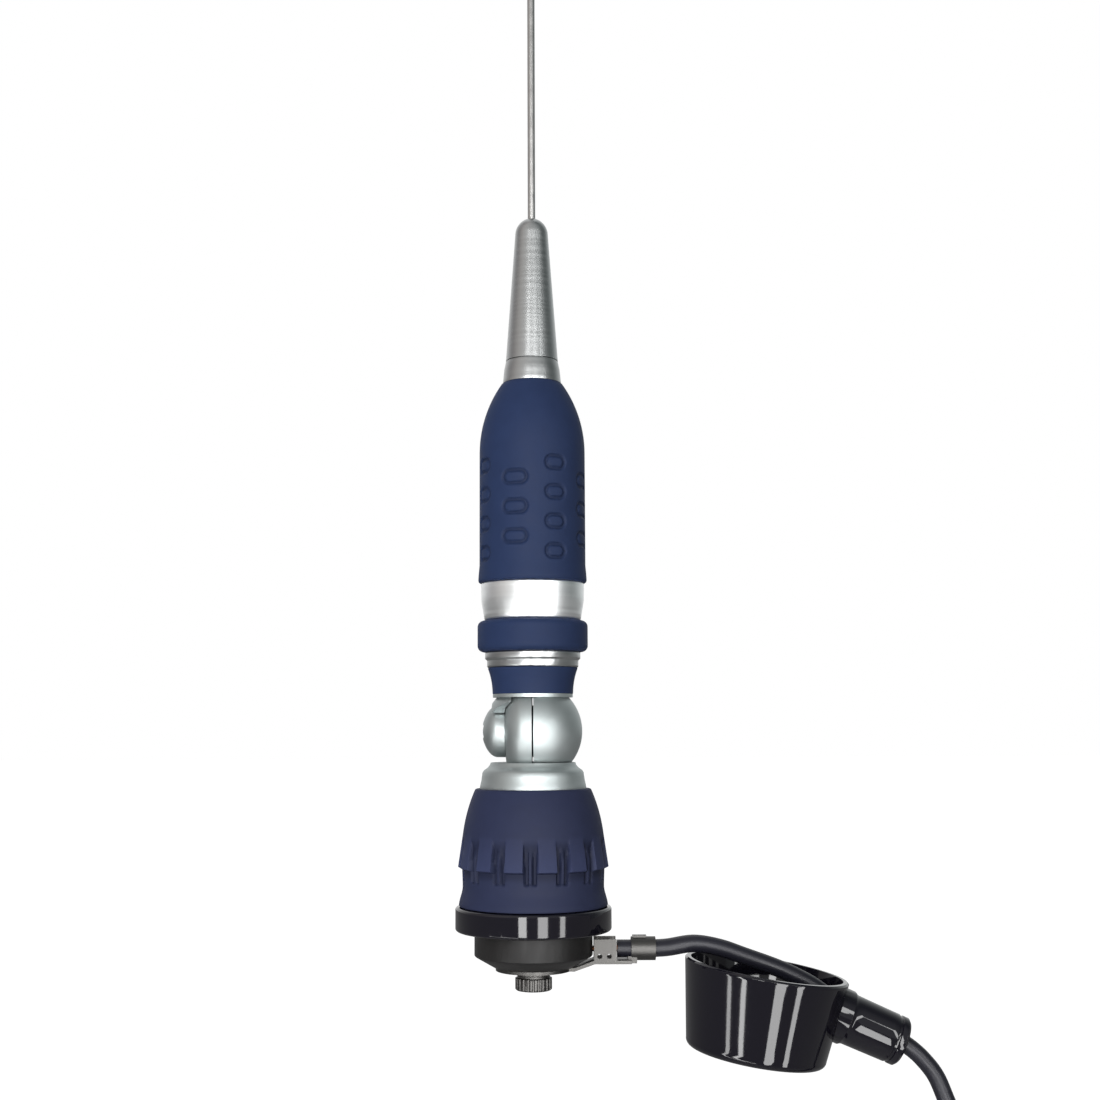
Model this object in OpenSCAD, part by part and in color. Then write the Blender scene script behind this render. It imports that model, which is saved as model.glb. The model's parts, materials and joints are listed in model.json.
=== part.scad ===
// Roof antenna with a tilting knuckle, a loading coil and a feed cable.
// Millimetres. The origin is the centre of the face that lies on the roof, +Z points up the mast.

/* [Whip] */
// Height of the whip's tip above the roof
tip_height = 800; // [500:10:1100]
// Diameter of the whip
whip_d = 2.3; // [1.8:0.1:3]
// How much thinner the whip is just under its tip
whip_taper = 0.6; // [0.2:0.1:0.8]
// Length of the tip cap
tip_cap_h = 7; // [4:1:14]
// Wall of the tip cap round the whip
tip_cap_wall = 0.8; // [0.5:0.1:2]
// Depth of the whip in its holder
whip_seat = 26.9; // [16:0.5:28]
// Travel of the whip below its seat
whip_drop = 3; // [1:0.5:4]

/* [Whip holder] */
// Height of the tapered holder
holder_h = 43.9; // [36:0.5:60]
// Diameter of the holder's foot
holder_foot_d = 15.6; // [14:0.2:17]
// Diameter of the holder where its dome begins
holder_neck_d = 9.9; // [9:0.1:12]
// Height of the holder's dome
holder_dome_h = 4.9; // [4:0.1:5.5]
// Diameter of each grub screw
grub_d = 3; // [2:0.5:4]
// Distance between the two grub screws
grub_pitch = 7; // [5:0.5:9]

/* [Top collar] */
// Height of the collar under the holder
top_collar_h = 6.9; // [5:0.1:10]
// Diameter of the collar's stud in the holder
holder_stud_d = 8; // [6:0.5:9]
// Height of that stud
holder_stud_h = 9; // [6:0.5:10]
// Diameter of the collar's stem in the coil former
stem_d = 10; // [6:0.5:11]
// Depth of the stem below the collar
stem_h = 14; // [8:0.5:20]

/* [Coil sleeve] */
// Height of the sleeve
sleeve_h = 59.9; // [56:0.5:90]
// Diameter of the sleeve
sleeve_d = 31.3; // [30:0.2:36]
// Diameter of the sleeve's top
sleeve_top_d = 17.8; // [17.6:0.2:22]
// Height of the sleeve's rounded shoulder
sleeve_ogive_h = 21.1; // [16:0.5:24]
// Wall of the sleeve
sleeve_wall = 3; // [2:0.1:3.4]
// Depth of the relief
relief_depth = 0.5; // [0.2:0.1:0.9]
// Width of the relief's lines
relief_line = 1.1; // [0.6:0.1:1.5]
// Height of one loop of the relief
loop_h = 4.9; // [3.4:0.1:5.2]
// Angle that a wide loop spans
wide_loop_angle = 31; // [24:1:34]
// Angle that a narrow loop spans
narrow_loop_angle = 26; // [20:1:30]
// Distance between the loops of a column
loop_pitch = 8.6; // [8:0.1:9]

/* [Loading coil] */
// Diameter of the former
former_d = 18; // [14:0.5:19]
// Diameter of the wire
wire_d = 1.6; // [1:0.1:2]
// Number of turns of the winding
winding_turns = 22; // [12:1:24]
// Diameter of the metal insert under the former
insert_d = 22; // [18:0.5:23]

/* [Grip and bands] */
// Height of the plain trim band
band_h = 11.2; // [8:0.2:14]
// Diameter of the trim band's top
band_top_d = 30.4; // [29:0.2:31]
// Diameter of the trim band's foot
band_foot_d = 28.4; // [27:0.2:31]
// Height of the lower grip ring
grip_h = 9.1; // [7:0.1:14]
// Diameter of the lower grip ring
grip_d = 32.4; // [30:0.2:34]
// Height of the collar under the grip ring
collar_h = 4.7; // [3:0.1:8]
// Diameter of that collar
collar_d = 28; // [26:0.2:30]

/* [Knuckle] */
// Diameter of the ball
ball_d = 28.8; // [27:0.2:30]
// Height of the ball's centre above the base cover
ball_rise = 16.5; // [15.5:0.1:20]
// Rounding of the base's half ball at its outer edge
tongue_edge = 7; // [5:0.1:7.4]
// Width of the split through the ball
split_w = 0.5; // [0.4:0.1:0.8]
// Width of the half ball that the base carries
tongue_w = 7.65; // [6.5:0.05:8]
// Gap between the ball and its seats
seat_gap = 0.3; // [0.3:0.05:0.5]
// Height of the flared collar round the ball
seat_h = 7.5; // [6.5:0.1:8]
// Diameter of the flared collar's top
seat_top_d = 24.7; // [24.5:0.1:26]
// Diameter of the flared collar's foot
seat_foot_d = 31; // [30:0.2:32]
// Height of the neck's foot above the ball's centre
neck_rise = 10.8; // [10.5:0.1:12]
// Height of the neck
neck_h = 7.6; // [6:0.1:12]
// Diameter of the neck's foot
neck_foot_d = 23.6; // [23:0.2:25]
// Diameter of the neck's top
neck_top_d = 26.4; // [25:0.2:28]
// Diameter of the spigot inside the neck
spigot_d = 16; // [12:0.5:17]
// Diameter of the clamp screw's thread
clamp_d = 6; // [5:0.5:8]
// Diameter of the clamp screw's domed head
clamp_head_d = 10; // [9:0.5:12]
// Width of the clamp screw's hexagon socket
clamp_hex = 5; // [3:0.5:6]

/* [Base cover] */
// Height of the cover
cover_h = 33.3; // [30:0.5:45]
// Diameter of the cover where its shoulder begins
cover_d = 41.4; // [40:0.2:44]
// Diameter of the shoulder's upper end
cover_shoulder_d = 34; // [33:0.2:38]
// Diameter of the cover's foot
cover_foot_d = 43; // [42:0.2:44.6]
// Number of ribs round the cover
rib_count = 14; // [8:1:16]
// Angle that one rib spans
rib_angle = 4.3; // [3:0.1:6]
// Angle that one pad spans
pad_angle = 13.4; // [9:0.1:13.6]
// How far a rib stands proud
rib_proud = 0.6; // [0.3:0.1:1.2]
// How far a pad's lower edge stands proud
pad_proud = 1.1; // [0.6:0.1:1.8]
// Depth of the field round each rib
field_depth = 0.5; // [0.2:0.1:1]
// Diameter of the metal core
core_d = 26; // [20:1:28]

/* [Roof mount] */
// Height of the ring on the roof
ring_h = 6.8; // [5.6:0.1:10]
// Diameter of the ring on the roof
ring_d = 45; // [44.8:0.2:50]
// Diameter of the recess for the roof seal
seal_d = 35.8; // [32:0.2:36]
// Thickness of the roof seal
seal_h = 2.6; // [1.5:0.1:3]
// Diameter of the stud's upper thread
stud_d = 10; // [8:0.5:12]
// Length of the stud's upper thread
stud_top_h = 11.4; // [8:0.1:12]
// Diameter of the stud's lower thread
stud_low_d = 6; // [5:0.5:7]
// Diameter of the stud's flange
flange_d = 20; // [16:0.5:24]
// Thickness of the stud's flange
flange_h = 1.8; // [1.2:0.1:2]
// Diameter of the insulating bush
bush_d = 12; // [10:0.5:13]
// Diameter of the lower insulator
insulator_d = 34; // [32:0.2:34.6]
// Height of the lower insulator
insulator_h = 10.2; // [9.6:0.1:14]
// Height of the lower insulator's tapered foot
insulator_taper_h = 3; // [2:0.1:3.4]
// Diameter of the lower insulator's foot
insulator_foot_d = 23; // [22.5:0.1:26]
// Diameter of the nut
nut_d = 10.6; // [9:0.1:12]
// Height of the nut
nut_h = 5.6; // [4:0.1:8]
// Number of grooves of the nut's knurl
nut_knurls = 24; // [12:1:30]

/* [Cable bracket] */
// Thickness of the bracket's sheet
sheet_t = 1; // [0.6:0.1:1.2]
// Diameter of the bracket's disc
bracket_disc_d = 21.8; // [19:0.2:22]
// Width of the bracket's channel
channel_w = 8; // [7.4:0.1:9]
// Length of the bracket's channel
channel_l = 10.7; // [8:0.1:14]
// Length of the crimp round the cable
crimp_l = 7; // [5:0.5:10]
// Wall of the crimp
crimp_wall = 0.8; // [0.5:0.1:1.2]

/* [Cable] */
// Diameter of the cable
cable_d = 5; // [4.4:0.1:5.2]
// Turns of the stored coil, side by side
coil_columns = 4; // [3:1:5]
// Turns of the stored coil, on each other
coil_layers = 5; // [4:1:6]
// Width of a coil tie
tie_w = 8; // [5:0.5:12]
// Thickness of a coil tie
tie_t = 1.2; // [0.8:0.1:2]

/* [Weather cap] */
// Diameter of the cap's rim
cap_d = 47; // [45:0.5:49]
// Height of the cap
cap_h = 24.6; // [22:0.2:30]
// Wall of the cap
cap_wall = 1.5; // [1:0.1:2.2]
// How much narrower the cap's floor is than its rim
cap_draft = 6.8; // [4:0.2:8]
// Tilt of the cap as it hangs on the cable
cap_tilt = 9; // [7:0.5:11]
// Diameter of the boot's root
boot_root_d = 15.6; // [15:0.2:17]
// Diameter of the boot's mouth
boot_mouth_d = 14; // [12:0.2:14.8]
// Length of the boot from the cap's wall
boot_l = 19.5; // [15:0.5:22]

/* [Plug] */
// Diameter of the screw ring
plug_ring_d = 18.4; // [17.6:0.2:20]
// Length of the screw ring
plug_ring_l = 20; // [17:0.5:24]
// Diameter of the screw ring's mouth
plug_mouth_d = 16; // [15:0.1:16.6]
// Diameter of the plug's barrel
plug_barrel_d = 12; // [11:0.5:13]
// Length of the plug's barrel behind the ring
plug_barrel_l = 16; // [12:0.5:20]
// Diameter of the plug's pin
pin_d = 4; // [3.6:0.1:4.4]
// Length of the plug's pin in front of its insulator
pin_l = 15.5; // [12:0.5:17]
// Number of grooves of the screw ring's knurl
ring_knurls = 32; // [16:1:36]

/* [Fits] */
// Radial clearance of a running fit
run_fit = 0.05; // [0.02:0.01:0.08]
// Radial clearance between pieces that are fixed to each other
seat_fit = 0.05; // [0.02:0.01:0.1]
// Gap between the turning base and the ring
turn_gap = 0.2; // [0.2:0.05:0.4]

/* [Hidden] */
$fn = 96;
far = 200;
skin = 0.01;

// Heights of the faces at which the pieces meet, from the roof upwards
cover_z = ring_h + turn_gap;
seat_z = cover_z + cover_h;
ball_z = seat_z + ball_rise;
neck_z = ball_z + neck_rise;
collar_z = neck_z + neck_h;
grip_z = collar_z + collar_h;
band_z = grip_z + grip_h;
sleeve_z = band_z + band_h;
top_collar_z = sleeve_z + sleeve_h;
holder_z = top_collar_z + top_collar_h;
holder_top_z = holder_z + holder_h;
whip_foot_z = holder_top_z - whip_seat;

// Radii
ball_r = ball_d / 2;
socket_r = ball_r + seat_gap;
seal_r = seal_d / 2;
sleeve_bore_r = sleeve_d / 2 - sleeve_wall;

// Inner pieces of the mast
spigot_top_z = grip_z + 6;
insert_top_z = sleeve_z + 1;
insert_post_d = 12;
insert_post_h = 8;
former_top_z = top_collar_z - 6;
flange_t = 1;
lug_inner_r = clamp_head_d / 2 + 0.5;
lug_angle = 48;
washer_d = 15;
clamp_depth = 9;

// Base and mount
stem_low_d = 12;
stem_low_h = 16;
web_z = seal_h;
lip_r = 0.6;
flange_z = ring_h - flange_h - turn_gap;
bracket_z = -insulator_h - sheet_t;
nut_z = bracket_z - nut_h;
cable_z = -5.3;
jacket_x = 24;
core_d_mm = 1.6;
terminal_d = 15;
terminal_h = 1.2;
channel_x = insulator_d / 2 + seat_gap;
channel_floor_z = cable_z - cable_d / 2 - 0.4;
channel_top_z = -2.3;
crimp_x = channel_x + channel_l;

// Weather cap: centre of its rim, and the line of its boot
cap_at = [66.9, 0, -11];
boot_at = [87.2, 0, -24.05];
boot_slope = 23.6;

// Coil of the stored cable: its axis lies along Y
coil_mean_r = 6 * cable_d;
coil_outer_r = coil_mean_r + coil_layers * cable_d / 2;
coil_half_w = coil_columns * cable_d / 2;
coil_at = [141, 0, -122];

// Route of the cable from the crimp to the top of the coil
route = [
    [24, 0, -5.3], [31, 0, -5.3], [38, 0, -5.1], [46, 0, -4], [53.5, 0, -5.2], [60.5, 0, -7.6],
    [70.5, 0, -11.2], [78, 0, -14.8], [82, 0, -17.3], [86.5, 0, -20.4], [92, 0, -24],
    [98, 0, -27.6], [103.5, 0, -30.8], [107.5, 0, -33.4], [111, 0, -36.6], [114.5, 0, -41.2],
    [117, -0.5, -47.4], [119.3, -1.5, -54], [121, -3, -62], [122.5, -4.5, -69.6],
    [126.9, -6, -76.1], [133.4, -7, -80.5], [141, -7.5, -82]
];
// Route of the cable from the top of the coil to the plug
tail_route = [
    [141, 7.5, -82], [157, 7.5, -84.5], [171, 7.5, -92.6], [181, 7.5, -104.6],
    [185.6, 7.5, -119], [186.4, 7.5, -134], [186.4, 7.5, -146]
];
plug_x = 186.4;
plug_y = 7.5;
plug_z = -138;
plug_boot_l = 14;
plug_shoulder_t = 2;
plug_face_z = plug_z - plug_barrel_l - plug_shoulder_t - 3;
pin_tail_r = pin_d / 2 - 0.6;

// Radius of the arc that starts upright and comes in by d over a height h
function arc_radius(h, d) = (h * h + d * d) / (2 * d);

// Point t of the way from b to c on a smooth curve through a, b, c and d
function between(a, b, c, d, t) = 0.5 * (
    2 * b + (c - a) * t + (2 * a - 5 * b + 4 * c - d) * t * t + (3 * b - a - 3 * c + d) * t * t * t
);

// The route's points with one more between each two
function smooth(p) = [
    for (i = [0 : len(p) - 2])
        for (t = [0, 0.5])
            between(p[max(i - 1, 0)], p[i], p[i + 1], p[min(i + 2, len(p) - 1)], t),
    p[len(p) - 1]
];

function unit(v) = v / norm(v);
function heading(p, i) = unit(p[min(i + 1, len(p) - 1)] - p[max(i - 1, 0)]);

// Round tube of diameter d along the points p
module tube_along(p, d, sides = 10) {
    rings = [
        for (i = [0 : len(p) - 1])
            let (t = heading(p, i), u = unit(cross(t, [0, 1, 0])), v = cross(u, t))
                for (k = [0 : sides - 1])
                    p[i] + d / 2 * (u * cos(360 * k / sides) + v * sin(360 * k / sides))
    ];
    last = (len(p) - 1) * sides;
    walls = [
        for (i = [0 : len(p) - 2])
            for (k = [0 : sides - 1])
                [
                    i * sides + k, i * sides + (k + 1) % sides,
                    (i + 1) * sides + (k + 1) % sides, (i + 1) * sides + k
                ]
    ];
    ends = [
        [for (k = [sides - 1 : -1 : 0]) k],
        [for (k = [0 : sides - 1]) last + k]
    ];
    polyhedron(points = rings, faces = concat(walls, ends), convexity = 8);
}

// Section from the radius r0 to r1 and from z0 to z1, its outer corners rounded
module edge_rounded(r0, r1, z0, z1, edge) {
    translate([r0, z0]) square([r1 - edge - r0, z1 - z0]);
    translate([r0, z0 + edge]) square([r1 - r0, z1 - z0 - 2 * edge]);
    for (z = [z0 + edge, z1 - edge]) translate([r1 - edge, z]) circle(r = edge);
}

// Ring or disc from the radius r0 to r1 and from z0 to z1
module plain_ring(r0, r1, z0, z1) {
    rotate_extrude() translate([r0, z0]) square([r1 - r0, z1 - z0]);
}

// Round bore of radius r from z0 to z1
module bore(r, z0, z1) {
    translate([0, 0, z0]) cylinder(r = r, h = z1 - z0);
}

// Turns what is drawn along Z so that it points along X
module along_x() {
    rotate([0, 90, 0]) children();
}

// Turns a section about the X axis through the ball's centre, from a heading that is down at 0
module about_x(from = 0, angle = 360) {
    translate([0, 0, ball_z]) along_x() rotate([0, 0, from]) rotate_extrude(angle = angle) children();
}

// Section of a ball of radius r between two planes across X, from the distance r0 to the axis
module ball_section(r, x0, x1, r0 = 0) {
    intersection() {
        circle(r = r);
        translate([r0, x0]) square([r, x1 - x0]);
    }
}

// Section of the base's half ball up to the plane x1, its outer edge rounded, larger by grow
module tongue_section(grow, x1) {
    x0 = -split_w / 2 - tongue_w;
    edge_x = x0 + tongue_edge;
    edge_r = sqrt(ball_r * ball_r - edge_x * edge_x) + 0.15 - tongue_edge;
    intersection() {
        circle(r = ball_r + grow);
        translate([0, x0 - grow]) square([ball_r + grow, x1 - x0 + grow]);
        union() {
            translate([0, x0 - grow]) square([edge_r, ball_r]);
            translate([0, edge_x]) square([ball_r + grow, ball_r]);
            translate([edge_r, edge_x]) circle(r = tongue_edge + grow);
        }
    }
}

// Round bar along X through the ball's centre
module bar_x(r, x0, x1) {
    translate([x0, 0, ball_z]) along_x() cylinder(r = r, h = x1 - x0);
}

module whip() {
    r_end = (whip_d - whip_taper) / 2;
    color("silver") rotate_extrude() polygon([
        [0, whip_foot_z], [whip_d / 2 - 0.3, whip_foot_z], [whip_d / 2, whip_foot_z + 0.3],
        [whip_d / 2, holder_top_z + 120], [r_end, tip_height - tip_cap_h],
        [r_end, tip_height - 1.5], [0, tip_height - 1.5]
    ]);
}

module whip_tip() {
    r_end = (whip_d - whip_taper) / 2;
    r_cap = r_end + tip_cap_wall;
    foot = tip_height - tip_cap_h;
    color("silver") rotate_extrude() difference() {
        union() {
            translate([0, foot]) square([r_cap - 0.3, tip_cap_h - r_cap]);
            translate([0, foot + 0.3]) square([r_cap, tip_cap_h - r_cap - 0.3]);
            intersection() {
                translate([0, tip_height - r_cap]) circle(r = r_cap);
                translate([0, foot]) square([r_cap, tip_cap_h]);
            }
        }
        translate([-1, foot - 1]) square([1 + r_end + skin, tip_cap_h + 1 - 1.5 + skin]);
    }
}

module whip_holder() {
    r_foot = holder_foot_d / 2;
    r_neck = holder_neck_d / 2;
    dome_z = holder_top_z - holder_dome_h;
    dome_r = arc_radius(holder_dome_h, r_neck - whip_d / 2 - 0.4);
    bore_foot_z = whip_foot_z - whip_drop - 0.5;
    color("silver") difference() {
        rotate_extrude() {
            polygon([[0, holder_z], [r_foot, holder_z], [r_neck, dome_z], [0, dome_z]]);
            intersection() {
                translate([r_neck - dome_r, dome_z]) circle(r = dome_r);
                translate([0, dome_z]) square([r_foot, holder_dome_h]);
            }
        }
        bore(whip_d / 2 + run_fit, bore_foot_z, holder_top_z + 1);
        bore(holder_stud_d / 2 + seat_fit, holder_z - 1, holder_z + holder_stud_h + 0.3);
        for (z = grub_heights()) grub_hole(grub_d / 2 + seat_fit, z, 0, r_foot);
    }
}

function grub_heights() = [
    for (k = [-0.5, 0.5]) (whip_foot_z + holder_top_z - holder_dome_h) / 2 + k * grub_pitch
];

// Round bar along +Y at the height z
module grub_hole(r, z, y0, y1) {
    translate([0, y0, z]) rotate([-90, 0, 0]) cylinder(r = r, h = y1 - y0);
}

// Radius of the holder at the height z of its cone
function holder_r(z) = holder_foot_d / 2
    - (holder_foot_d - holder_neck_d) / 2 * (z - holder_z) / (holder_h - holder_dome_h);

module grub_screws() {
    tip_y = whip_d / 2 + run_fit;
    for (z = grub_heights()) {
        head_y = holder_r(z + grub_d / 2) - 0.3;
        color("dimgray") difference() {
            grub_hole(grub_d / 2, z, tip_y, head_y);
            translate([0, head_y - 1.2, z]) rotate([-90, 0, 0]) cylinder(d = grub_d / 2, h = 2, $fn = 6);
        }
    }
}

module top_collar() {
    color("silver") {
        rotate_extrude() polygon([
            [0, top_collar_z], [sleeve_top_d / 2 - 0.15, top_collar_z],
            [sleeve_top_d / 2 - 0.6, top_collar_z + 0.62 * top_collar_h],
            [holder_foot_d / 2, top_collar_z + top_collar_h - 0.3],
            [holder_foot_d / 2 - 0.3, holder_z], [0, holder_z]
        ]);
        bore(holder_stud_d / 2, holder_z - skin, holder_z + holder_stud_h);
        bore(stem_d / 2, top_collar_z - stem_h, top_collar_z + skin);
    }
}

// Outer section of the sleeve
module sleeve_section() {
    r = sleeve_d / 2;
    ogive_z = top_collar_z - sleeve_ogive_h;
    ogive_r = arc_radius(sleeve_ogive_h, (sleeve_d - sleeve_top_d) / 2);
    polygon([
        [0, sleeve_z], [r - 0.05, sleeve_z], [r + 0.35, sleeve_z + 0.5], [r + 0.15, sleeve_z + 3.8],
        [r, sleeve_z + 7], [r, ogive_z], [0, ogive_z]
    ]);
    intersection() {
        translate([r - ogive_r, ogive_z]) circle(r = ogive_r);
        translate([0, ogive_z]) square([r, sleeve_ogive_h]);
    }
}

// Rounded bar of width w and height h, flat ends along X
module pill(w, h) {
    square([w - h, h], center = true);
    for (x = [-1, 1]) translate([x * (w - h) / 2, 0]) circle(d = h, $fn = 32);
}

// Loops of one column, n of them about the height z, cut from just under the surface outwards
module relief_column(angle, n, z) {
    w = sleeve_d * sin(angle / 2);
    root = 0.45 * sleeve_d;
    translate([0, -root, z]) rotate([90, 0, 0]) linear_extrude(sleeve_d - root)
        for (k = [0 : n - 1]) translate([0, (k - (n - 1) / 2) * loop_pitch]) difference() {
            pill(w, loop_h);
            pill(w - 2 * relief_line, loop_h - 2 * relief_line);
        }
}

// Wide loops in threes and narrow loops in fours, in turn round the sleeve
module sleeve_relief() {
    middle_z = sleeve_z + 21;
    difference() {
        for (turn = [0 : 90 : 270]) {
            rotate([0, 0, turn - 18.5]) relief_column(wide_loop_angle, 3, middle_z);
            rotate([0, 0, turn + 26.5]) relief_column(narrow_loop_angle, 4, middle_z);
        }
        bore(sleeve_d / 2 - relief_depth, sleeve_z, top_collar_z);
    }
}

module coil_sleeve() {
    shoulder_z = top_collar_z - sleeve_ogive_h + 6;
    stem_bore_r = stem_d / 2 + seat_fit;
    color("darkslateblue") difference() {
        rotate_extrude() difference() {
            sleeve_section();
            polygon([
                [-1, sleeve_z - 1], [sleeve_bore_r, sleeve_z - 1], [sleeve_bore_r, shoulder_z],
                [stem_bore_r, top_collar_z - 4], [stem_bore_r, top_collar_z + 1],
                [-1, top_collar_z + 1]
            ]);
        }
        sleeve_relief();
    }
}

module coil_former() {
    color("ivory") difference() {
        bore(former_d / 2, insert_top_z, former_top_z - 4);
        bore(insert_post_d / 2 + seat_fit, insert_top_z - 1, insert_top_z + insert_post_h + 0.3);
        bore(stem_d / 2 + seat_fit, top_collar_z - stem_h - 0.3, former_top_z + 1);
    }
}

module coil_winding() {
    foot = insert_top_z + 1.5;
    r0 = former_d / 2 + seat_fit;
    color("chocolate") rotate_extrude() {
        translate([r0, foot]) square([wire_d / 2, winding_turns * wire_d]);
        for (k = [0 : winding_turns - 1])
            intersection() {
                translate([r0 + wire_d / 2, foot + (k + 0.5) * wire_d]) circle(d = wire_d, $fn = 24);
                translate([r0, foot]) square([wire_d, winding_turns * wire_d]);
            }
    }
}

module coil_base() {
    color("silver") difference() {
        union() {
            bore(insert_d / 2, grip_z, insert_top_z);
            bore(insert_post_d / 2, insert_top_z - skin, insert_top_z + insert_post_h);
        }
        bore(spigot_d / 2 + seat_fit, grip_z - 1, spigot_top_z + 0.2);
    }
}

module trim_band() {
    r0 = insert_d / 2 + seat_fit;
    color("gainsboro") rotate_extrude() polygon([
        [r0, band_z], [band_foot_d / 2 - 0.4, band_z], [band_foot_d / 2, band_z + 0.5],
        [band_top_d / 2 - 0.1, band_z + band_h * 0.54], [band_top_d / 2, sleeve_z - 0.4],
        [band_top_d / 2 - 0.4, sleeve_z], [r0, sleeve_z]
    ]);
}

module lower_grip() {
    r0 = insert_d / 2 + seat_fit;
    color("darkslateblue") rotate_extrude() edge_rounded(r0, grip_d / 2, grip_z, band_z, 1.8);
}

module knuckle_collar() {
    r0 = spigot_d / 2 + seat_fit;
    r1 = collar_d / 2;
    color("silver") rotate_extrude() polygon([
        [r0, collar_z], [r1 - 0.9, collar_z], [r1 - 0.6, collar_z + 0.4],
        [r1 - 0.6, collar_z + 0.48 * collar_h], [r1, collar_z + 0.56 * collar_h],
        [r1, grip_z - 0.3], [r1 - 0.3, grip_z], [r0, grip_z]
    ]);
}

module neck() {
    flare = (neck_top_d - neck_foot_d) / 2;
    flare_r = arc_radius(neck_h, flare);
    color("darkslateblue") rotate_extrude() difference() {
        translate([spigot_d / 2 + seat_fit, neck_z])
            square([neck_top_d / 2 - spigot_d / 2 - seat_fit, neck_h]);
        translate([neck_foot_d / 2 + flare_r, neck_z]) circle(r = flare_r);
        translate([0, ball_z]) circle(r = socket_r);
    }
}

module upper_knuckle() {
    face_x = split_w / 2;
    lug_x = -0.8 * tongue_w;
    color("silver") difference() {
        union() {
            about_x() ball_section(ball_r, face_x, ball_r);
            difference() {
                union() {
                    bore(neck_foot_d / 2 - 0.1, neck_z - flange_t, neck_z);
                    bore(spigot_d / 2, neck_z - flange_t, spigot_top_z);
                }
                about_x() tongue_section(seat_gap, face_x);
            }
            about_x(180 - lug_angle, 2 * lug_angle) difference() {
                ball_section(ball_r, -ball_r, lug_x, lug_inner_r);
                tongue_section(seat_gap, face_x);
            }
        }
        bar_x(clamp_d / 2 + run_fit, face_x - 1, face_x + clamp_depth + 0.5);
    }
}

// Section of the flared collar that holds the ball
module seat_section() {
    r_foot = seat_foot_d / 2;
    r_top = seat_top_d / 2;
    polygon([
        [0, seat_z], [r_foot, seat_z], [r_foot - 0.1, seat_z + 0.9], [r_foot - 0.45, seat_z + 2.4],
        [r_foot - 0.75, seat_z + seat_h - 2.9], [r_foot - 1.2, seat_z + seat_h - 2.2],
        [r_top + 0.8, seat_z + seat_h - 1.4], [r_top + 0.25, seat_z + seat_h - 0.7],
        [r_top, seat_z + seat_h], [0, seat_z + seat_h]
    ]);
}

module lower_knuckle() {
    face_x = -split_w / 2;
    color("silver") difference() {
        union() {
            difference() {
                rotate_extrude() seat_section();
                about_x() ball_section(socket_r, face_x, socket_r);
            }
            about_x() tongue_section(0, face_x);
            bore(stem_low_d / 2, seat_z - stem_low_h, seat_z + skin);
        }
        bar_x(clamp_d / 2 + run_fit, face_x - tongue_w - 1, face_x + 1);
    }
}

module clamp_screw() {
    head_x = -split_w / 2 - tongue_w - 0.1;
    head_r = clamp_head_d / 2;
    dome_x = -ball_r - 0.8 + head_r;
    color("silver") difference() {
        union() {
            about_x() translate([0, dome_x]) square([head_r, head_x - dome_x]);
            about_x() intersection() {
                translate([0, dome_x]) circle(r = head_r);
                translate([0, dome_x - head_r]) square([head_r, head_r]);
            }
            bar_x(clamp_d / 2, head_x - 1, split_w / 2 + clamp_depth);
        }
        translate([-far / 2, 0, ball_z]) along_x()
            cylinder(d = clamp_hex / cos(30), h = far / 2 - ball_r + 3.5, $fn = 6);
    }
}

module knuckle_washer() {
    color("gray") difference() {
        bar_x(washer_d / 2, -split_w / 2, split_w / 2 - 0.05);
        bar_x(clamp_d / 2 + run_fit, -1, 1);
    }
}

// Radius of the cover at a height z of its shoulder
function cover_r(z) = let (
    waist_z = cover_z + 0.45 * cover_h,
    arc = arc_radius(seat_z - 0.5 - waist_z, (cover_d - cover_shoulder_d) / 2)
) cover_d / 2 - arc + sqrt(arc * arc - pow(max(z - waist_z, 0), 2));

// Outer section of the cover: a flared foot, an upright waist and an arc above it
module cover_section() {
    waist_z = cover_z + 0.45 * cover_h;
    top_z = seat_z - 0.5;
    arc = arc_radius(top_z - waist_z, (cover_d - cover_shoulder_d) / 2);
    r = cover_d / 2;
    polygon([
        [0, cover_z], [cover_foot_d / 2 - 0.3, cover_z], [cover_foot_d / 2, cover_z + 0.4],
        [r + 0.15, cover_z + 2.8], [r - 0.15, cover_z + 4.2], [r - 0.3, cover_z + 7],
        [r, waist_z], [0, waist_z]
    ]);
    intersection() {
        translate([r - arc, waist_z]) circle(r = arc, $fn = 180);
        translate([0, waist_z]) square([r, top_z - waist_z]);
    }
    polygon([
        [0, top_z - skin], [cover_shoulder_d / 2, top_z - skin],
        [cover_shoulder_d / 2 - 1, seat_z], [0, seat_z]
    ]);
}

// A section turned through an angle, centred on the heading turn
module sector(turn, angle) {
    rotate([0, 0, turn - angle / 2]) rotate_extrude(angle = angle) children();
}

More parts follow.
